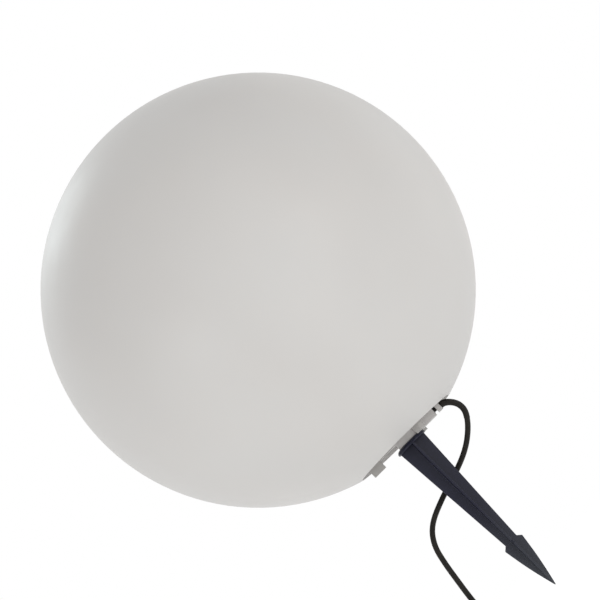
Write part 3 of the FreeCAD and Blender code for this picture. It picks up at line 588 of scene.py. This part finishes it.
def spike_plastic():
    """Nearly black blue moulding, with painted light making it paler towards the point that goes into the
    ground.
    """
    material = moulded_plastic(
        "spike_plastic", (0.0085, 0.009, 0.0235), (0.0125, 0.0135, 0.029),
        cloud_scale=22, roughness=(0.30, 0.42), grain_scale=620, grain_height=0.000004,
        ripple_height=0.00001, specular=0.26)
    tree = material.node_tree
    colour = tree.nodes["Principled BSDF"].inputs["Base Color"]
    moulding_colour = colour.links[0].from_socket
    height = tree.nodes.new("ShaderNodeSeparateXYZ")
    tree.links.new(object_position(tree), height.inputs["Vector"])
    # Painted light: paler in patches from partway down the spike to its point
    depth = step_mask(tree, height.outputs["Z"], *TIP_LIGHT_HEIGHT)
    patches = noise(tree, 60, detail=5, roughness=0.7)
    painted_light = multiplied(tree, depth, ranged(tree, patches, 0.75, 1.0))
    tree.links.new(mixed(tree, painted_light, moulding_colour, (0.046, 0.051, 0.060)), colour)
    return material


MATERIALS = {
    "globe_plastic": globe_plastic(),
    "cap_plastic": cap_plastic(),
    "spike_plastic": spike_plastic(),
    "black_rubber": rubber("black_rubber", (0.016, 0.016, 0.017), (0.035, 0.034, 0.033)),
    "cable_rubber": rubber("cable_rubber", (0.007, 0.006, 0.0045), (0.016, 0.013, 0.0095)),
    "plug_rubber": rubber("plug_rubber", (0.016, 0.015, 0.014), (0.030, 0.028, 0.026), grain_scale=700),
    "holder_plastic": moulded_plastic(
        "holder_plastic", (0.030, 0.030, 0.031), (0.045, 0.045, 0.046),
        cloud_scale=40, roughness=(0.3, 0.45), grain_scale=900, grain_height=0.00002, rounding=0.0004),
    "pillar_plastic": moulded_plastic(
        "pillar_plastic", (0.60, 0.59, 0.57), (0.66, 0.65, 0.63),
        cloud_scale=25, roughness=(0.38, 0.5), grain_scale=800, grain_height=0.00002, rounding=0.0004),
    "ceramic": moulded_plastic(
        "ceramic", (0.72, 0.69, 0.62), (0.80, 0.78, 0.72),
        cloud_scale=60, roughness=(0.18, 0.3), grain_scale=500, grain_height=0.00002, rounding=0.0003,
        specular=0.6),
    "screw_steel": brushed_metal("screw_steel", (0.52, 0.52, 0.53), (0.66, 0.66, 0.67), (0.25, 0.4)),
    "cap_metal": brushed_metal("cap_metal", (0.66, 0.66, 0.65), (0.78, 0.78, 0.77), (0.22, 0.36)),
    "contact_brass": brushed_metal("contact_brass", (0.62, 0.44, 0.20), (0.75, 0.56, 0.28), (0.24, 0.4)),
    "plug_nickel": brushed_metal("plug_nickel", (0.62, 0.60, 0.56), (0.76, 0.74, 0.70), (0.16, 0.3),
                                 stretch=(1, 0.06, 1)),
    "live_sheath": moulded_plastic(
        "live_sheath", (0.13, 0.055, 0.025), (0.17, 0.075, 0.035),
        cloud_scale=90, roughness=(0.35, 0.45), grain_scale=1500, grain_height=0.00001),
    "neutral_sheath": moulded_plastic(
        "neutral_sheath", (0.025, 0.06, 0.22), (0.035, 0.08, 0.28),
        cloud_scale=90, roughness=(0.35, 0.45), grain_scale=1500, grain_height=0.00001),
    "bulb_plastic": moulded_plastic(
        "bulb_plastic", (0.74, 0.74, 0.73), (0.80, 0.80, 0.79),
        cloud_scale=40, roughness=(0.28, 0.4), grain_scale=1100, grain_height=0.00001, rounding=0.0005),
    "board_aluminium": moulded_plastic(
        "board_aluminium", (0.72, 0.72, 0.70), (0.82, 0.82, 0.80),
        cloud_scale=80, roughness=(0.3, 0.45), grain_scale=1200, grain_height=0.00001),
    "phosphor": moulded_plastic(
        "phosphor", (0.80, 0.55, 0.10), (0.86, 0.62, 0.14),
        cloud_scale=300, roughness=(0.45, 0.6), grain_scale=4000, grain_height=0.00001),
    "diffuser_plastic": moulded_plastic(
        "diffuser_plastic", (0.80, 0.80, 0.78), (0.86, 0.86, 0.84),
        cloud_scale=35, roughness=(0.3, 0.42), grain_scale=1400, grain_height=0.00001),
}

NODE_MATERIALS = {
    "globe_shell": "globe_plastic",
    "base_cap": "cap_plastic",
    "cable_clamp": "cap_plastic",
    "holder_pillar": "pillar_plastic",
    "rim_gasket": "black_rubber",
    "cable_gland": "black_rubber",
    "inner_cable": "cable_rubber",
    "live_wire": "live_sheath",
    "neutral_wire": "neutral_sheath",
    "lamp_holder_shell": "holder_plastic",
    "lamp_holder_insert": "ceramic",
    "holder_screw_shell": "cap_metal",
    "holder_nipple": "screw_steel",
    "nipple_nut_1": "screw_steel",
    "nipple_nut_2": "screw_steel",
    "centre_contact": "contact_brass",
    "side_contact": "contact_brass",
    "bulb_tip": "contact_brass",
    "bulb_insulator": "holder_plastic",
    "bulb_cap": "cap_metal",
    "bulb_housing": "bulb_plastic",
    "led_board": "board_aluminium",
    "bulb_diffuser": "diffuser_plastic",
    "ground_spike": "spike_plastic",
    "coil_tie": "holder_plastic",
    "plug_strain_relief": "plug_rubber",
    "plug_body": "plug_rubber",
    "plug_pin_1": "plug_nickel",
    "plug_pin_2": "plug_nickel",
    "clamp_screw_1": "screw_steel",
    "clamp_screw_2": "screw_steel",
    "pillar_screw_1": "screw_steel",
    "pillar_screw_2": "screw_steel",
    "pillar_screw_3": "screw_steel",
}


def paint(piece, name):
    piece.data.materials.clear()
    piece.data.materials.append(MATERIALS[name])


for node_name, material_name in NODE_MATERIALS.items():
    paint(nodes[node_name], material_name)
paint(mains_cable, "cable_rubber")


# Shaping helpers

def arc(centre_x, centre_y, radius, start, end, steps):
    """Points along an arc in a plane, from one angle to another in degrees."""
    angles = [math.radians(start + (end - start) * i / steps) for i in range(steps + 1)]
    return [(centre_x + radius * math.cos(a), centre_y + radius * math.sin(a)) for a in angles]


def rounded_corners(points, radius):
    """Open outline with its inner corners rounded to a radius, less where a side is short."""
    result = [points[0]]
    for before, corner, after in zip(points, points[1:], points[2:]):
        corner = Vector(corner)
        back = Vector(before) - corner
        ahead = Vector(after) - corner
        half_turn = (math.pi - back.angle(ahead)) / 2
        setback = min(radius * math.tan(half_turn), back.length * CORNER_SHARE, ahead.length * CORNER_SHARE)
        first = corner + back.normalized() * setback
        last = corner + ahead.normalized() * setback
        for i in range(CORNER_STEPS + 1):
            t = i / CORNER_STEPS
            result.append(tuple(first * (1 - t) ** 2 + corner * 2 * t * (1 - t) + last * t ** 2))
    return result + [points[-1]]


def on_circle(radius, angle):
    return radius * math.cos(math.radians(angle)), radius * math.sin(math.radians(angle))


def turned_ring(radius, height, sides, centre=(0, 0)):
    """Level ring of points; the radius is a number, or a function of the angle and the height."""
    ring = []
    for i in range(sides):
        angle = 2 * math.pi * i / sides
        reach = radius(angle, height) if callable(radius) else radius
        ring.append((centre[0] + reach * math.cos(angle), centre[1] + reach * math.sin(angle), height))
    return ring


def spanned_ring(centre, radius, across, sides):
    """Ring of points round a centre, spanned by two directions."""
    angles = [2 * math.pi * i / sides for i in range(sides)]
    return [centre + (across[0] * math.cos(a) + across[1] * math.sin(a)) * radius for a in angles]


def ring_rows(bm, rings):
    return [[bm.verts.new(point) for point in ring] for ring in rings]


def skin_rows(bm, rows):
    """Skin rows of vertices one after another, each row closed on itself."""
    count = len(rows[0])
    for low, high in zip(rows, rows[1:]):
        for i in range(count):
            j = (i + 1) % count
            bm.faces.new((low[i], low[j], high[j], high[i]))


def join_rings(bm, rings):
    """Skin rings of points one after another and cap both ends."""
    rows = ring_rows(bm, rings)
    skin_rows(bm, rows)
    bm.faces.new(list(reversed(rows[0])))
    bm.faces.new(rows[-1])


def loop_rings(bm, rings):
    """Skin rings of points one after another and back to the first, without ends."""
    rows = ring_rows(bm, rings)
    skin_rows(bm, rows + rows[:1])


def turned_body(bm, outline, sides, centre=(0, 0)):
    """Body of revolution about +Z from an outline of (radius, height), closed by its end discs."""
    join_rings(bm, [turned_ring(radius, height, sides, centre) for radius, height in outline])


def bead(bm, points, radii, across, sides):
    """Rounded bar along points, its rings spanned by two directions."""
    join_rings(bm, [spanned_ring(point, radius, across, sides) for point, radius in zip(points, radii)])


def box_piece(bm, low, high, rounding, turn=0.0):
    """Block between two corners with its edges rounded, turned about +Z."""
    size = Vector(high) - Vector(low)
    middle = (Vector(high) + Vector(low)) / 2
    turned = Matrix.Rotation(math.radians(turn), 4, "Z")
    matrix = turned @ Matrix.Translation(middle) @ Matrix.Diagonal((*size, 1))
    verts = bmesh.ops.create_cube(bm, size=1.0, matrix=matrix)["verts"]
    edges = list({e for v in verts for e in v.link_edges})
    bmesh.ops.bevel(bm, geom=edges, offset=rounding, segments=BEVEL_STEPS, profile=BEVEL_PROFILE,
                    affect="EDGES")


def new_piece(name, body, material, bm):
    """Object moving with a body, from a bmesh in millimetres."""
    bmesh.ops.scale(bm, vec=(MM, MM, MM), verts=bm.verts)
    bmesh.ops.recalc_face_normals(bm, faces=bm.faces)
    mesh = bpy.data.meshes.new(name)
    bm.to_mesh(mesh)
    bm.free()
    piece = bpy.data.objects.new(name, mesh)
    bpy.context.scene.collection.objects.link(piece)
    mesh.materials.append(MATERIALS[material])
    mesh.shade_smooth()
    mesh.set_sharp_from_angle(angle=math.radians(SHARP_ANGLE))
    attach(piece, body)
    return piece


# Ground spike

def fin_section(reach, height):
    """Plus-shaped section with rounded fin edges and filleted roots, which shrink where it is narrow."""
    half = min(SPIKE_FIN_THICKNESS / 2, reach * NARROW_FIN)
    edge = min(SPIKE_FIN_ROUND, half * NARROW_EDGE)
    root = min(SPIKE_ROOT_ROUND, max(reach - half - edge, LEAST_ROOT_ROOM) * NARROW_ROOT)
    points = arc(half + root, -half - root, root, 180, 90, SPIKE_ARC_STEPS)
    points += arc(reach - edge, -half + edge, edge, -90, 0, SPIKE_ARC_STEPS)
    points += arc(reach - edge, half - edge, edge, 0, 90, SPIKE_ARC_STEPS)
    ring = []
    for quarter in range(4):
        turn = math.radians(90 * quarter + SPIKE_TURN)
        cosine, sine = math.cos(turn), math.sin(turn)
        ring += [(x * cosine - y * sine, x * sine + y * cosine, height) for x, y in points]
    return ring


def spike_blade_levels():
    """Reach of the fins by height, from inside the flange to the point, whose flanks swell a little."""
    lip = SPIKE_SEAT - SPIKE_FLANGE_DROP
    corners = [
        (SPIKE_SEAT_RADIUS - SPIKE_START_INSET, SPIKE_SEAT - SPIKE_FLANGE_THICKNESS / 2),
        (SPIKE_TOP_RADIUS, lip),
        (SPIKE_NECK_RADIUS, -SPIKE_NECK_DEPTH),
    ]
    point_height = SPIKE_DEPTH - SPIKE_BARB_DEPTH - SPIKE_TIP_HEIGHT
    for step in range(SPIKE_POINT_STEPS + 1):
        t = step / SPIKE_POINT_STEPS
        reach = SPIKE_BARB_RADIUS + (SPIKE_POINT_RADIUS - SPIKE_BARB_RADIUS) * t
        reach += SPIKE_POINT_BULGE * math.sin(math.pi * t)
        corners.append((reach, -SPIKE_BARB_DEPTH - point_height * t))
    corners.append((SPIKE_POINT_RADIUS * SPIKE_TIP_SHARE, -SPIKE_DEPTH))
    return rounded_corners(corners, SPIKE_LEVEL_ROUND)


def dome_fall(inset):
    """Quarter ellipse from the flat seat down to the flange's edge, set in by a wall."""
    width = SPIKE_FLANGE_RADIUS - SPIKE_SEAT_RADIUS - inset
    edge = SPIKE_SEAT - SPIKE_FLANGE_DROP - inset
    quarter = arc(0, 0, 1, 90, 0, SPIKE_FLANGE_STEPS)
    return [(SPIKE_SEAT_RADIUS + x * width, edge + y * SPIKE_FLANGE_DROP) for x, y in quarter]


def spike_flange_outline():
    """Thin domed flange with a rounded lip, open underneath."""
    wall = SPIKE_FLANGE_THICKNESS
    half = wall / 2
    edge = SPIKE_SEAT - SPIKE_FLANGE_DROP
    lip = arc(SPIKE_FLANGE_RADIUS - half, edge - half, half, 0, -180, SPIKE_LIP_STEPS)
    inside = list(reversed(dome_fall(wall)))
    outline = [(SPIKE_INNER_RADIUS, SPIKE_SEAT)] + dome_fall(0) + lip[1:] + inside[1:]
    return outline + [(SPIKE_INNER_RADIUS, SPIKE_SEAT - wall)]


def peg_levels():
    """Reach of the peg's fins by height, chamfered at the top."""
    corners = [
        (PEG_RADIUS, SPIKE_SEAT - PEG_SINK),
        (PEG_RADIUS, PEG_HEIGHT - PEG_CHAMFER),
        (PEG_RADIUS - PEG_CHAMFER, PEG_HEIGHT - PEG_TOP_DROP),
        (PEG_RADIUS - PEG_CHAMFER - PEG_TOP_INSET, PEG_HEIGHT),
    ]
    return rounded_corners(corners, PEG_LEVEL_ROUND)


def peg_collar_outline():
    """Round foot of the peg, standing on the flange, with a chamfered top."""
    low = SPIKE_SEAT - PEG_SINK
    top = SPIKE_SEAT + PEG_COLLAR_HEIGHT
    return [
        (SPIKE_INNER_RADIUS, low),
        (PEG_RADIUS, low),
        (PEG_RADIUS, top - PEG_COLLAR_CHAMFER),
        (PEG_RADIUS - PEG_COLLAR_CHAMFER, top),
        (SPIKE_INNER_RADIUS, top),
    ]


def make_spike():
    bm = bmesh.new()
    join_rings(bm, [fin_section(reach, z) for reach, z in spike_blade_levels()])
    join_rings(bm, [fin_section(reach, z) for reach, z in peg_levels()])
    turned_body(bm, spike_flange_outline(), FINE_SIDES)
    turned_body(bm, peg_collar_outline(), ROUND_SIDES)
    pivot = Vector((0, 0, SPIKE_LEAN_HEIGHT))
    lean = Matrix.Rotation(math.radians(-SPIKE_LEAN), 3, "Y")
    bmesh.ops.rotate(bm, cent=pivot, matrix=lean, verts=bm.verts)
    spike = new_piece("spike_moulding", "spike", "spike_plastic", bm)
    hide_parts("ground_spike")


make_spike()


# Rubber boot on the cable where it leaves the guide post

def round_end(distance, length):
    """Quarter-circle rise from 0 at an end to 1 at a length from it."""
    return math.sqrt(max(0.0, 1 - (1 - min(distance / length, 1.0)) ** 2))


def boot_radius(along):
    """Radius of the boot at a distance along it: a rounded shoulder, a taper and two rounded ends."""
    radius = BOOT_RADIUS + (BOOT_END_RADIUS - BOOT_RADIUS) * along / BOOT_LENGTH
    radius += BOOT_SHOULDER * math.exp(-(along / BOOT_SHOULDER_LENGTH) ** 2)
    start = round_end(along, BOOT_START_ROUND)
    end = round_end(BOOT_LENGTH - along, BOOT_END_ROUND)
    return radius - BOOT_START_INSET * (1 - start) - BOOT_END_INSET * (1 - end)


def boot_line():
    """Points along the cable's own path from the post outwards, with their distances, in millimetres."""
    points = [p / MM for p in cable_path if p.x > BOOT_START * MM]
    line = [(0.0, Vector((BOOT_START, points[0].y, points[0].z)))]
    for point in points:
        along = line[-1][0] + (point - line[-1][1]).length
        if along > BOOT_LENGTH:
            break
        line.append((along, point))
    return line


def boot_places(length):
    """Distances of the boot's rings along it, close together at its rounded ends."""
    fine = [BOOT_FINE_STEP * i for i in range(BOOT_FINE_COUNT)]
    margin = BOOT_FINE_STEP * BOOT_FINE_COUNT
    middle = [margin + (length - 2 * margin) * i / BOOT_STEPS for i in range(BOOT_STEPS + 1)]
    return fine + middle + [length - place for place in reversed(fine)]


def place_on(line, along):
    """Point at a distance along a line of (distance, point), and the direction there."""
    for (start, first), (end, second) in zip(line, line[1:]):
        if along <= end:
            break
    return first.lerp(second, (along - start) / (end - start)), (second - first).normalized()


def make_cable_boot():
    line = boot_line()
    length = min(BOOT_LENGTH, line[-1][0])
    side = Vector((0, 1, 0))
    rings = []
    for along in boot_places(length):
        centre, direction = place_on(line, along)
        upright = side.cross(direction).normalized()
        radius = boot_radius(along * BOOT_LENGTH / length)
        rings.append(spanned_ring(centre, radius, (side, upright), SMALL_SIDES))
    bm = bmesh.new()
    join_rings(bm, rings)
    boot = new_piece("cable_boot", "base", "cable_rubber", bm)


make_cable_boot()


# Underside of the base cap

def ring_outline():
    """Section of the ring under the cap, chamfered at its lower edges."""
    half = RIB_WIDTH / 2
    low = CAP_UNDERSIDE - RIB_HEIGHT
    upper, lower = RING_EDGE_SHARES
    outer = [(half, CAP_UNDERSIDE + RIB_SINK), (half * upper, low + RING_EDGE_HEIGHT), (half * lower, low)]
    inner = [(-x, height) for x, height in reversed(outer)]
    return [(RING_RADIUS + x, height) for x, height in outer + inner]


def ejector_outline():
    """Section of the low round mark of an ejector pin, chamfered round its face."""
    low = CAP_UNDERSIDE - EJECTOR_HEIGHT
    return [
        (EJECTOR_RADIUS - EJECTOR_CHAMFER, low),
        (EJECTOR_RADIUS, low + EJECTOR_CHAMFER),
        (EJECTOR_RADIUS, CAP_UNDERSIDE + EJECTOR_SINK),
    ]


def make_cap_ribs():
    """Stiffening ribs, a ring and the round marks of the mould's ejector pins."""
    bm = bmesh.new()
    loop_rings(bm, [turned_ring(radius, height, LARGE_SIDES) for radius, height in ring_outline()])
    for radius, angle in EJECTOR_PLACES:
        turned_body(bm, ejector_outline(), SMALL_SIDES, on_circle(radius, angle))
    # The bevelled blocks come last: faces skinned after them are stored in an order that changes between runs
    half = RIB_WIDTH / 2
    for angle in RIB_ANGLES:
        box_piece(bm, (RIB_START, -half, CAP_UNDERSIDE - RIB_HEIGHT),
                  (RIB_END, half, CAP_UNDERSIDE + RIB_SINK), RIB_ROUND, angle)
    ribs = new_piece("cap_ribs", "base", "cap_plastic", bm)


# Screw thread of the bulb's cap and of the shell that takes it

def thread_wave(angle, height):
    """0 in the valleys and 1 on the crests of a right-hand screw thread."""
    return 0.5 + 0.5 * math.cos(2 * math.pi * height / THREAD_PITCH - angle)


def fade(height, low, high, run):
    """1 between two heights, falling to 0 at each within a run."""
    return max(0.0, min(1.0, (height - low) / run, (high - height) / run))


def make_bulb_cap():
    """Tapered foot, rolled thread and plain neck with a row of crimps."""
    low = BULB_BOTTOM + TIP_HEIGHT + INSULATOR_HEIGHT
    top = low + BULB_CAP_HEIGHT
    thread_low = low + BULB_CAP_TAPER - BULB_THREAD_LEAD
    thread_high = top - BULB_PLUG_DEPTH

    def wall(angle, height):
        depth = CAP_THREAD_DEPTH * fade(height, thread_low, thread_high, THREAD_FADE)
        crimp = math.exp(-((height - top + CRIMP_DROP) / CRIMP_HEIGHT) ** 2)
        crimp *= max(0.0, math.cos(CRIMP_COUNT * angle)) ** CRIMP_SHARPNESS
        return BULB_CAP_RADIUS - depth * (1 - thread_wave(angle, height)) - CRIMP_DEPTH * crimp

    start = low + BULB_CAP_TAPER
    levels = [(INSULATOR_RADIUS, low), (BULB_CAP_RADIUS - BULB_CAP_SHOULDER_INSET, low + BULB_CAP_SHOULDER)]
    levels += [(wall, start + (top - start) * i / BULB_CAP_STEPS) for i in range(BULB_CAP_STEPS + 1)]
    bm = bmesh.new()
    turned_body(bm, levels, FINE_SIDES)
    cap = new_piece("bulb_screw_cap", "bulb", "cap_metal", bm)
    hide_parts("bulb_cap")


def make_screw_shell():
    """Pressed thread of the holder, open at the top and with a ring of floor left at the bottom."""
    thread_low = INSERT_TOP + SHELL_THREAD_START
    thread_high = INSERT_TOP + SHELL_HEIGHT - SHELL_THREAD_END

    def outside(angle, height):
        depth = SHELL_THREAD_DEPTH * fade(height, thread_low, thread_high, THREAD_FADE)
        return SHELL_RADIUS - depth * (1 - thread_wave(angle, height))

    def inside(angle, height):
        return outside(angle, height) - SHELL_WALL

    heights = [INSERT_TOP + SHELL_HEIGHT * i / SHELL_STEPS for i in range(SHELL_STEPS + 1)]
    floor_top = INSERT_TOP + SHELL_WALL
    floor_edge = SHELL_RADIUS - SHELL_WALL - SHELL_FLOOR_WIDTH
    levels = [(outside, height) for height in heights]
    levels += [(inside, height) for height in reversed(heights) if height > floor_top]
    levels += [(inside, floor_top), (floor_edge, floor_top), (floor_edge, INSERT_TOP)]
    bm = bmesh.new()
    loop_rings(bm, [turned_ring(radius, height, FINE_SIDES) for radius, height in levels])
    shell = new_piece("screw_shell_thread", "base", "cap_metal", bm)
    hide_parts("holder_screw_shell")


def make_phosphor():
    """Yellow face of each light source on the bulb's board."""
    low = BULB_BOTTOM + TIP_HEIGHT + INSULATOR_HEIGHT + BULB_CAP_HEIGHT + BULB_HOUSING_HEIGHT
    low += BOARD_THICKNESS + CHIP_HEIGHT
    half = CHIP_SIZE / 2 - PHOSPHOR_MARGIN
    bm = bmesh.new()
    for index in range(CHIP_COUNT):
        box_piece(bm, (CHIP_RADIUS - half, -half, low - PHOSPHOR_SINK),
                  (CHIP_RADIUS + half, half, low + PHOSPHOR_STAND), PHOSPHOR_ROUND, 360 / CHIP_COUNT * index)
    new_piece("led_phosphor", "bulb", "phosphor", bm)


make_cap_ribs()
make_bulb_cap()
make_screw_shell()
make_phosphor()


# Head and tail of the coil's tie

def coil_reach(angle):
    """Radius of the coil's outermost turn at a winding angle, counted over all its layers."""
    turns = COIL_LAYERS * COIL_TURNS_PER_LAYER * 2 * math.pi
    passes = int((turns - angle) / 2 / math.pi) + 1
    return max(coil_centre_line(angle + i * 2 * math.pi)[0] for i in range(passes))


def make_tie_head():
    """Block of the tie, its free tail standing up from it and the teeth on the tail's inner side."""
    start = math.radians(TIE_ANGLE)
    face = coil_reach(start) + CABLE_DIAMETER / MM / 2 + TIE_CLEARANCE + TIE_THICKNESS
    level = -(COIL_LAYERS - 1) * COIL_PITCH / 2
    thick, wide, tall = TIE_HEAD
    top = level + tall / 2
    tail = face + TIE_SINK
    bm = bmesh.new()
    box_piece(bm, (face - TIE_SINK, -wide / 2, level - tall / 2),
              (face + thick, wide / 2, top), TIE_HEAD_ROUND)
    box_piece(bm, (tail, -TIE_WIDTH / 2, top - TIE_TAIL_SINK),
              (tail + TIE_THICKNESS, TIE_WIDTH / 2, top + TIE_TAIL), TIE_TAIL_ROUND)
    for index in range(TOOTH_COUNT):
        tooth = top + TOOTH_START + index * TOOTH_PITCH
        box_piece(bm, (face + TOOTH_FRONT, -TOOTH_HALF_WIDTH, tooth),
                  (face + TOOTH_BACK, TOOTH_HALF_WIDTH, tooth + TOOTH_HEIGHT), TOOTH_ROUND)
    matrix = Matrix.Translation(coil_axis()[:3]) @ Matrix.Rotation(-start, 4, "Z")
    bmesh.ops.transform(bm, matrix=matrix, verts=bm.verts)
    head = new_piece("tie_head", "spike", "holder_plastic", bm)


# Grips, seam and pin collars of the plug

def surface_of(node):
    """Search tree over a node's own surface, in metres in the shared frame."""
    bm = bmesh.new()
    bm.from_mesh(node.data)
    bm.transform(node.matrix_world)
    tree = BVHTree.FromBMesh(bm)
    bm.free()
    return tree


def plug_side(tree, side, y, z):
    """Point on the plug's side at a place along it and a height, in millimetres."""
    start = metres((PLUG_AXIS[0] + side * PLUG_SEARCH, y, z))
    hit = tree.ray_cast(start, Vector((-side, 0, 0)))[0]
    return hit / MM


def make_plug_details():
    tree = surface_of(nodes["plug_body"])
    x_way, y_way, z_way = Vector((1, 0, 0)), Vector((0, 1, 0)), Vector((0, 0, 1))
    along = [-1 + 2 * i / GRIP_STEPS for i in range(GRIP_STEPS + 1)]
    grip_radii = [GRIP_RADIUS * max(GRIP_END_SHARE, math.sqrt(1 - t ** GRIP_SQUARENESS)) for t in along]
    seam_length = PLUG_LENGTH - 2 * SEAM_MARGIN
    seam = [PLUG_START + SEAM_MARGIN + seam_length * i / SEAM_STEPS for i in range(SEAM_STEPS + 1)]
    collar_radii = [radius for radius, out in PIN_COLLAR]
    bm = bmesh.new()
    for side in (-1, 1):
        for index in range(GRIP_COUNT):
            y = PLUG_START + GRIP_FIRST + index * GRIP_PITCH
            points = [plug_side(tree, side, y, PLUG_AXIS[1] + t * GRIP_HALF_HEIGHT) for t in along]
            bead(bm, points, grip_radii, (x_way, y_way), BEAD_SIDES)
        points = [plug_side(tree, side, y, PLUG_AXIS[1]) for y in seam]
        bead(bm, points, [SEAM_RADIUS] * len(points), (x_way, z_way), SEAM_SIDES)
    for side in (-1, 1):
        pin = Vector((PLUG_AXIS[0] + side * PIN_SPACING / 2, PLUG_START + PLUG_LENGTH, PLUG_AXIS[1]))
        points = [pin + y_way * out for radius, out in PIN_COLLAR]
        bead(bm, points, collar_radii, (x_way, z_way), PIN_COLLAR_SIDES)
    details = new_piece("plug_details", "spike", "plug_rubber", bm)


make_tie_head()
make_plug_details()


# Floor, world and lamps

def seen_directly(tree):
    """1 for camera, mirror and transmitted rays, 0 for the light that falls on things."""
    path = tree.nodes.new("ShaderNodeLightPath")
    total = path.outputs["Is Camera Ray"]
    for name in ("Is Glossy Ray", "Is Transmission Ray"):
        add = tree.nodes.new("ShaderNodeMath")
        add.operation = "MAXIMUM"
        tree.links.new(total, add.inputs[0])
        tree.links.new(path.outputs[name], add.inputs[1])
        total = add.outputs[0]
    return total


def make_world():
    world = bpy.data.worlds.new("studio")
    bpy.context.scene.world = world
    world.use_nodes = True
    tree = world.node_tree
    tree.nodes.clear()
    output = tree.nodes.new("ShaderNodeOutputWorld")
    mix = tree.nodes.new("ShaderNodeMixShader")
    fill = tree.nodes.new("ShaderNodeBackground")
    fill.inputs["Color"].default_value = (*AMBIENT_COLOUR, 1)
    fill.inputs["Strength"].default_value = AMBIENT
    white = tree.nodes.new("ShaderNodeBackground")
    white.inputs["Color"].default_value = (*WHITE, 1)
    tree.links.new(seen_directly(tree), mix.inputs["Fac"])
    tree.links.new(fill.outputs[0], mix.inputs[1])
    tree.links.new(white.outputs[0], mix.inputs[2])
    tree.links.new(mix.outputs[0], output.inputs["Surface"])


def make_floor():
    """Ground at the spike's point; what the camera sees of it glows nearly white and keeps the shadow."""
    bpy.ops.mesh.primitive_circle_add(vertices=FINE_SIDES, radius=FLOOR_RADIUS, fill_type="NGON",
                                      location=(0, 0, -SPIKE_DEPTH * MM - FLOOR_GAP))
    floor = bpy.context.object
    floor.name = "floor"
    material, tree, shader = new_material("floor")
    tone = mixed(tree, seen_directly(tree), FLOOR_COLOUR, FLOOR_SEEN_COLOUR)
    tree.links.new(tone, shader.inputs["Base Color"])
    shader.inputs["Roughness"].default_value = 0.9
    shader.inputs["Specular IOR Level"].default_value = 0.0
    glow = tree.nodes.new("ShaderNodeEmission")
    glow.inputs["Color"].default_value = (*WHITE, 1)
    strength = ranged(tree, seen_directly(tree), FLOOR_GLOW, FLOOR_SEEN_GLOW, 0, 1)
    tree.links.new(strength, glow.inputs["Strength"])
    add = tree.nodes.new("ShaderNodeAddShader")
    tree.links.new(shader.outputs[0], add.inputs[0])
    tree.links.new(glow.outputs[0], add.inputs[1])
    tree.links.new(add.outputs[0], tree.nodes["Material Output"].inputs["Surface"])
    floor.data.materials.append(material)


def soft_lamp(name, place, size, power, colour):
    """Round lamp that faces the middle of the globe."""
    data = bpy.data.lights.new(name, "AREA")
    data.shape = "DISK"
    data.size = size
    data.energy = power
    data.color = colour
    lamp = bpy.data.objects.new(name, data)
    bpy.context.scene.collection.objects.link(lamp)
    lamp.location = place
    lamp.rotation_mode = "QUATERNION"
    towards = Vector((0, 0, GLOBE_CENTRE)) - Vector(place)
    lamp.rotation_quaternion = towards.to_track_quat("-Z", "Y")


make_world()
make_floor()
soft_lamp("key_lamp", place=(2.1, -2.4, 0.15), size=0.9, power=11.9, colour=(1.0, 0.972, 0.945))
soft_lamp("side_lamp", place=(-2.1, -2.3, 0.10), size=0.9, power=9.3, colour=(1.0, 0.985, 0.965))
soft_lamp("top_lamp", place=(-0.9, 1.9, 2.2), size=1.2, power=13, colour=(0.89, 0.985, 1.0))

bpy.context.scene.view_settings.view_transform = "Standard"
